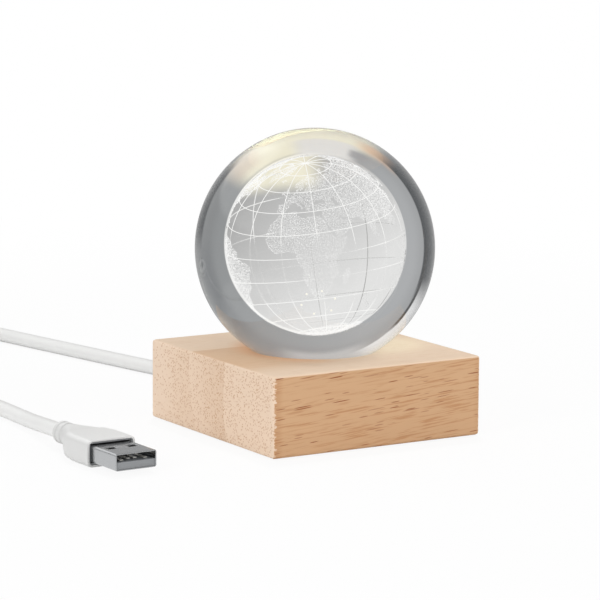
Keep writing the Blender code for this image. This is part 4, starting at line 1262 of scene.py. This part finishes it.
@dataclass
class Globe:
    """The world globe engraved inside the glass: a graticule of fine lines and continents of dots."""

    centre: Vector
    radius: float = 16.22 * MM
    offset: Vector = field(default_factory=lambda: Vector((0.26, 0.28, 0.46)) * MM)
    north: Vector = field(default_factory=lambda: Vector((-0.113, 0.062, 0.992)))
    greenwich_from_camera: float = math.radians(-25)
    line_radius: float = 0.068 * MM
    line_sides: int = 5
    line_steps: int = 120
    parallel_spacing: float = math.radians(18)
    meridian_spacing: float = math.radians(30)
    first_meridian: float = math.radians(-3)
    dot_radius: float = 0.070 * MM
    dot_count: int = 90000
    coast_step: float = math.radians(1.1)
    scatter: float = 0.6
    seed: int = 11
    polar_edge: float = -89.0
    widest_step: float = 90.0
    land: tuple[Outline, ...] = ()
    lakes: tuple[Outline, ...] = ()

    def frame(self, towards: Vector) -> Matrix:
        """Turns the globe's own directions into the lamp's.

        Args:
            towards: Direction from the globe to the camera.

        Returns:
            The matrix. Its columns point to Greenwich on the equator, to 90 degrees east, and north.
        """
        north = self.north.normalized()
        near = (towards - north * towards.dot(north)).normalized()
        east = north.cross(near)
        turn = self.greenwich_from_camera
        zero = near * math.cos(turn) + east * math.sin(turn)
        columns = Matrix((zero, north.cross(zero), north)).transposed()
        return Matrix.Translation(self.centre + self.offset) @ columns.to_4x4()

    def ring(self, shape: bmesh.types.BMesh, radius: float, height: float, turn: Matrix) -> None:
        """Adds one line of the graticule.

        Args:
            shape: The bmesh that it goes to.
            radius: The line's radius.
            height: Its height above the equator's plane.
            turn: Turns it into place.
        """
        at = Matrix.Translation((radius, 0, height)) @ Matrix.Rotation(math.pi / 2, 4, "X")
        sides, width = self.line_sides, self.line_radius
        loop = bmesh.ops.create_circle(shape, segments=sides, radius=width, matrix=turn @ at)["verts"]
        edges = dict.fromkeys(edge for vertex in loop for edge in vertex.link_edges)
        bmesh.ops.spin(
            shape,
            geom=[*loop, *edges],
            cent=turn.translation,
            axis=turn.to_3x3() @ UP,
            angle=math.tau,
            steps=self.line_steps,
            use_merge=True,
        )

    def build_lines(self, place: Matrix, towards: Vector) -> None:
        """Makes the parallels and the meridians.

        Args:
            place: The globe's matrix.
            towards: Direction from the globe to the camera.
        """
        last = math.ceil(math.pi / 2 / self.parallel_spacing) - 1
        latitudes = [k * self.parallel_spacing for k in range(-last, last + 1)]
        parallels = [(self.radius * math.cos(lat), self.radius * math.sin(lat), place) for lat in latitudes]
        meridians = []
        for k in range(round(math.pi / self.meridian_spacing)):
            turn = Matrix.Rotation(self.first_meridian + k * self.meridian_spacing, 4, "Z")
            meridians.append((self.radius, 0.0, place @ turn @ Matrix.Rotation(math.pi / 2, 4, "X")))
        for name, lines, marks in (
            ("engraved_parallels", parallels, PARALLEL_MARKS),
            ("engraved_meridians", meridians, MERIDIAN_MARKS),
        ):
            shape = bmesh.new()
            for radius, height, turn in lines:
                self.ring(shape, radius, height, turn)
            bmesh.ops.remove_doubles(shape, verts=shape.verts, dist=0.001 * MM)
            marks = replace(marks, middle=place.translation, towards=towards)
            new_piece(name, as_mesh(name, shape), marks, Body.BALL)

    @staticmethod
    def inside(outline: Outline, lon: np.ndarray, lat: np.ndarray) -> np.ndarray:
        """Which points lie inside an outline.

        Args:
            outline: Longitudes and latitudes of its corners.
            lon: Longitudes of the points.
            lat: Their latitudes.

        Returns:
            True where a point is inside.
        """
        found = np.zeros(lon.shape, bool)
        for (x0, y0), (x1, y1) in zip(outline, outline[1:] + outline[:1]):
            if y0 != y1:
                crossing = (y0 > lat) != (y1 > lat)
                found ^= crossing & (lon < (x1 - x0) * (lat - y0) / (y1 - y0) + x0)
        return found

    def land_points(self, chance: np.random.Generator) -> np.ndarray:
        """Directions of the dots: spread evenly over the land, and closer along the coasts.

        Args:
            chance: Seeded source of the scatter.

        Returns:
            Unit vectors, one a row.
        """
        number = np.arange(self.dot_count) + 0.5
        level = 1 - 2 * number / self.dot_count
        lon = (np.degrees(number * math.pi * (1 + math.sqrt(5))) + 180) % 360 - 180
        lat = np.degrees(np.arcsin(level))
        spread = math.degrees(math.sqrt(4 * math.pi / self.dot_count)) * self.scatter
        lon = lon + chance.normal(0, spread, lon.shape) / np.cos(np.radians(lat))
        lat = np.clip(lat + chance.normal(0, spread, lat.shape), -90, 90)
        land = np.zeros(lon.shape, bool)
        for outline in self.land:
            land |= self.inside(outline, lon, lat)
        for outline in self.lakes:
            land &= ~self.inside(outline, lon, lat)
        lon, lat = [lon[land]], [lat[land]]
        step = math.degrees(self.coast_step)
        for outline in self.land:
            for (x0, y0), (x1, y1) in zip(outline, outline[1:] + outline[:1]):
                if min(y0, y1) <= self.polar_edge or abs(x1 - x0) > self.widest_step:
                    continue
                reach = math.hypot((x1 - x0) * math.cos(math.radians((y0 + y1) / 2)), y1 - y0)
                share = np.linspace(0, 1, max(round(reach / step), 1), endpoint=False)
                lon.append(x0 + (x1 - x0) * share + chance.normal(0, step / 4, share.shape))
                lat.append(y0 + (y1 - y0) * share + chance.normal(0, step / 4, share.shape))
        lon, lat = np.radians(np.concatenate(lon)), np.radians(np.concatenate(lat))
        return np.stack([np.cos(lat) * np.cos(lon), np.cos(lat) * np.sin(lon), np.sin(lat)], axis=1)

    def build_land(self, place: Matrix, towards: Vector) -> None:
        """Makes the continents from small six-sided dots.

        Args:
            place: The globe's matrix.
            towards: Direction from the globe to the camera.
        """
        chance = np.random.default_rng(self.seed)
        outward = self.land_points(chance)
        dot = bmesh.new()
        bmesh.ops.create_uvsphere(dot, u_segments=3, v_segments=2, radius=self.dot_radius)
        dot.verts.ensure_lookup_table()
        corners = np.array([vertex.co for vertex in dot.verts])
        faces = np.array([[vertex.index for vertex in face.verts] for face in dot.faces])
        dot.free()
        at = outward * self.radius + chance.normal(0, self.dot_radius / 2, outward.shape)
        turned = np.array(place.to_3x3()) @ at.T
        at = turned.T + np.array(place.translation)
        size = chance.uniform(0.5, 1.5, (len(at), 1, 1))
        vertices = (at[:, None, :] + corners[None] * size).reshape(-1, 3)
        number = np.arange(len(at)) * len(corners)
        mesh = bpy.data.meshes.new("engraved_land")
        mesh.from_pydata(vertices.tolist(), [], (faces[None] + number[:, None, None]).reshape(-1, 3).tolist())
        marks = replace(LAND_MARKS, middle=place.translation, towards=towards)
        new_piece(mesh.name, mesh, marks, Body.BALL)
        LOG.info("%s: %d dots", mesh.name, len(at))

    def build(self, towards: Vector) -> None:
        """Makes the whole engraving.

        Args:
            towards: Direction from the globe to the camera.
        """
        place = self.frame(towards)
        self.build_lines(place, towards)
        self.build_land(place, towards)


LAND = (
    # Africa
    ((-17, 15), (-16, 21), (-13, 27.5), (-9.5, 30), (-6, 35.5), (0, 36), (10, 37.3), (11, 33.5), (19, 30.5),
     (23, 32.5), (32, 31), (34.5, 28), (37, 21), (39.5, 15.5), (43.5, 11.5), (51, 12), (49, 7), (43, 0),
     (39, -5), (40.5, -15), (35, -20), (35.5, -24), (32.5, -28), (27, -33.5), (20, -34.8), (18, -32),
     (15, -26), (12, -17), (13.5, -9), (9, -1), (9.5, 4), (4, 6.3), (-4, 5.2), (-8, 4.4), (-13, 8.5)),
    # Europe and Asia, from Portugal north about
    ((-9.5, 37), (-9, 43.3), (-1.5, 43.5), (-1.5, 46), (-4.5, 48.4), (1.5, 50.5), (4.5, 52.5), (8.5, 54),
     (8.5, 57), (10.5, 57.3), (10.5, 54.5), (14, 54), (19, 54.5), (21, 57.5), (24, 59.3), (30, 60),
     (22.5, 60.2), (21.5, 63), (25.5, 65.5), (22, 66), (17, 62), (18.5, 60), (16.5, 57), (14, 55.5),
     (11, 59), (5.5, 59), (5, 62), (12, 66), (17, 69), (26, 71), (41, 67), (34, 66.5), (38, 64), (44, 66.5),
     (44, 68.5), (54, 68.5), (60, 69), (68, 69), (73, 73), (81, 73), (87, 75), (104, 77.7), (113, 73.8),
     (130, 71), (140, 72.5), (160, 70), (180, 69), (180, 65), (177, 62.5), (163, 58), (162, 55), (157, 51),
     (156, 57), (163, 62), (155, 59.5), (142, 59), (135, 54.5), (141, 53), (139.5, 48), (131, 43),
     (127.5, 40), (129.3, 36), (126.5, 34.5), (125, 38), (121.5, 39.5), (118, 39), (122.5, 37), (119.5, 35),
     (122, 31), (121, 27.5), (117, 23.5), (110, 20.5), (108, 21.5), (106, 19.5), (109, 12.5), (105, 9),
     (100.5, 13.5), (99.5, 9.5), (103.5, 2), (101, 2.8), (98.2, 8.5), (98, 15.5), (94.5, 16), (91.5, 22.5),
     (87, 21), (80.2, 15.5), (80, 11), (77.5, 8), (73.5, 16), (72.8, 21), (70, 20.8), (67, 24.8),
     (61, 25.2), (57, 27), (51.5, 28), (48, 30), (50, 26.5), (51.5, 25), (54.5, 24.2), (56.3, 26),
     (59.8, 22.5), (57, 18.5), (52, 15.5), (45, 12.8), (43, 13), (42.5, 16.5), (39, 21.5), (35, 28),
     (34.3, 31.3), (36, 36.2), (30.5, 36.5), (27.3, 36.8), (26.5, 39.8), (29, 41.1), (35, 42), (41.3, 41.5),
     (39, 44.2), (35, 45.3), (33.5, 44.5), (32.5, 46.2), (29.5, 45), (28, 42.5), (28.5, 41.2), (26, 40.8),
     (23.5, 40.3), (24, 38), (22.5, 36.5), (20, 39.5), (19.5, 42), (15.5, 44), (13.5, 45.6), (12.3, 45),
     (14, 42.3), (18.3, 40), (16.5, 39.8), (16, 38), (15.7, 40), (12, 42), (9, 44.4), (3.5, 43.3),
     (3, 41.8), (0, 39.5), (-0.5, 38), (-2, 36.8), (-5.5, 36.1)),
    # North America
    ((-168, 66), (-156, 71.2), (-141, 69.7), (-127, 70.3), (-115, 68.5), (-95, 71.5), (-88, 68), (-94, 62),
     (-93, 58.8), (-82, 55), (-80, 51.5), (-78.5, 55), (-77, 60), (-73, 62.3), (-65, 59.5), (-60, 55),
     (-56, 52), (-60, 50), (-66, 50), (-64.5, 46.5), (-61, 45.5), (-66, 43.5), (-70, 43.5), (-71, 41.5),
     (-74, 40.3), (-76, 35.3), (-81, 31.5), (-80.2, 26), (-81.5, 25.5), (-83, 29.5), (-89.5, 30),
     (-90, 29.2), (-94, 29.5), (-97.3, 27), (-97.5, 21.5), (-94.5, 18.3), (-90.7, 19.5), (-87, 21.5),
     (-88, 16), (-83.3, 15), (-83.5, 11), (-79.5, 9.5), (-77.3, 8.5), (-80, 7.3), (-85.8, 10.5),
     (-91.5, 14), (-96, 15.8), (-105.5, 20.3), (-109.5, 25.6), (-114.5, 31.3), (-109.8, 23), (-112, 25.5),
     (-117, 32.5), (-120.5, 34.5), (-124, 40.5), (-124.5, 47), (-127.5, 51), (-133, 56), (-140, 60),
     (-148, 60.5), (-153, 58.5), (-163, 55), (-158, 58.7), (-165, 61), (-162, 64)),
    # South America
    ((-77.3, 8.5), (-72, 12), (-62, 10.7), (-57, 6), (-51, 4.2), (-50, 0), (-44, -2.6), (-39, -3.3),
     (-35, -6), (-35.2, -9), (-39, -14), (-39.5, -19.5), (-42, -23), (-48.5, -26), (-53.5, -34),
     (-57, -36.5), (-62, -39), (-65, -42), (-66.5, -46), (-69, -51.5), (-65.3, -54.8), (-71, -54.5),
     (-75, -50), (-73.5, -42), (-73.3, -36), (-71.4, -29), (-70.2, -19), (-76, -14), (-81.2, -6),
     (-80, -2.5), (-77.5, 2.5)),
    # Australia
    ((114, -22), (122, -18), (130.5, -11.8), (136.8, -12.2), (135.5, -15), (140.7, -17.5), (142.5, -10.8),
     (146, -19), (153, -25.5), (150, -37), (144, -38.5), (139, -36), (137, -33.5), (131, -31.5),
     (123.5, -34), (115, -34.3)),
    # Antarctica
    ((-180, -78), (-150, -77), (-130, -74), (-100, -73), (-75, -72), (-62, -64), (-60, -70), (-62, -75),
     (-45, -78), (-28, -77), (-10, -71), (20, -70), (50, -66.5), (70, -69), (90, -66.5), (130, -66),
     (150, -69), (165, -71), (165, -78), (180, -78), (180, -90), (-180, -90)),
    # Greenland and the northern islands
    ((-44, 60), (-42, 63), (-33, 67.5), (-22, 71), (-19, 76), (-18, 80), (-30, 83.3), (-58, 82), (-68, 80),
     (-68, 76.5), (-57, 74), (-53, 70), (-52, 65)),
    ((-62, 67), (-72, 71.5), (-88, 73.5), (-80, 69.5), (-73, 65), (-66, 62.2)),
    ((-62, 82.5), (-75, 79), (-90, 77), (-92, 81)),
    ((-105, 69), (-117, 70), (-117, 73.3), (-105, 73)),
    ((-22.5, 64), (-18, 63.5), (-14, 65), (-17, 66.3), (-23, 66)),
    ((52, 71), (57, 71), (68, 76.5), (60, 76)),
    # Britain and Ireland
    ((-5.5, 50), (1.5, 51.3), (0, 53.5), (-2, 55.8), (-3, 58.5), (-5.5, 58), (-4.8, 54), (-3, 53.3),
     (-5, 52)),
    ((-9.8, 51.6), (-6.2, 52.3), (-6, 54.8), (-8.3, 55), (-10, 54)),
    # Japan and Sakhalin
    ((130.5, 31.5), (132, 34), (137, 34.6), (140.7, 35.5), (142, 39.5), (141.5, 41.3), (140, 40), (137, 37),
     (132.5, 35.4), (129.8, 33)),
    ((140, 42), (143, 42), (145.3, 43.5), (141.8, 45.4)),
    ((142, 46), (144, 49.5), (143, 54), (141.8, 52)),
    # Islands between Asia and Australia
    ((95.4, 5.5), (104, -2), (106, -6), (102, -4)),
    ((105.3, -6.6), (114.4, -7.8), (113, -8.6), (106.5, -7.4)),
    ((109.2, 1.5), (113, 3.2), (117, 7), (119, 5), (117.5, 1), (116, -4), (110.3, -3)),
    ((119.5, -5.5), (120.3, 0.8), (125, 1.5), (121.3, -1.5), (122.5, -5.2)),
    ((131, -1), (135, -3.3), (141, -2.6), (147.7, -6), (150.8, -10.5), (144, -7.7), (138, -8.3), (133, -4)),
    ((120.3, 16), (121, 18.5), (122.2, 18.3), (124, 12.5), (126.3, 7.5), (123, 8), (121, 13.5)),
    # Madagascar, Sri Lanka, New Zealand and Cuba
    ((49.3, -12), (50.4, -15.6), (47, -25), (44, -24), (44.3, -17)),
    ((79.8, 8.5), (81.8, 7.5), (80.5, 6)),
    ((173, -35), (178, -37.7), (175, -41.5), (174.5, -38.5)),
    ((172.7, -40.5), (174.2, -41.7), (168.5, -46.6), (166.5, -46)),
    ((-84.5, 22), (-80, 23), (-74.3, 20.2), (-78, 20.3)),
)
LAKES = (
    # The Caspian Sea
    ((50, 45), (53, 46.5), (51, 44), (52.5, 41), (54, 37), (49.5, 37.5), (48.5, 42), (47, 44.5)),
)


@dataclass
class LampGlints:
    """The six lamps as the glass mirrors them: small warm points low in the globe."""

    drop: float = 10.0 * MM
    shift: float = 0.67 * MM
    ring_radius: float = 3.2 * MM
    flattening: float = 0.68
    glint_radius: float = 0.21 * MM
    bearings: tuple[float, ...] = (20, 79, 133, 192, 255, 317)

    def build(self, centre: Vector, right: Vector, up: Vector) -> None:
        """Makes the glints in a plane that faces the camera.

        Args:
            centre: The ball's middle.
            right: The camera's right.
            up: The camera's up.
        """
        shape = bmesh.new()
        middle = centre + right * self.shift - up * self.drop
        for bearing in self.bearings:
            angle = math.radians(bearing)
            across, level = math.cos(angle), math.sin(angle) * self.flattening
            at = middle + (right * across + up * level) * self.ring_radius
            place = Matrix.Translation(at)
            bmesh.ops.create_icosphere(shape, subdivisions=2, radius=self.glint_radius, matrix=place)
        new_piece("lamp_glints", as_mesh("lamp_glints", shape), LAMP_GLINT, Body.BALL)


@dataclass
class Base:
    """The square wooden block."""

    def build(self) -> None:
        """Smooths and dresses the block."""
        block = refined("wooden_base", BEECH)


def dress_nodes() -> None:
    """Gives every CAD node that stays its finish."""
    for node, finish in NODE_FINISHES.items():
        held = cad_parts[node]
        held.data.materials.clear()
        held.data.materials.append(finish.material())
        LOG.info("%s: %s", node, finish.name)


def main() -> None:
    """Builds the lamp piece by piece and reports each."""
    studio = Studio()
    studio.build()
    dress_nodes()
    grip = refined("plug_grip", PLUG_PLASTIC)
    shell = refined("plug_shell", SHELL_STEEL)
    tie = refined("coil_tie", STRAP)
    contacts = [f"plug_contact_{k}" for k in range(1, 5)]
    Lead().build([grip, shell, tie, "plug_tongue", "cord_bush", *contacts, *PlugTrim().build()])
    Base().build()
    ball = Ball()
    ball.build()
    right, up, ahead = studio.axes()
    Globe(ball.centre(), land=LAND, lakes=LAKES).build(-ahead)
    LampGlints().build(ball.centre(), right, up)


if __name__ == "__main__":
    logging.basicConfig(level=logging.INFO, format="%(message)s")
    main()
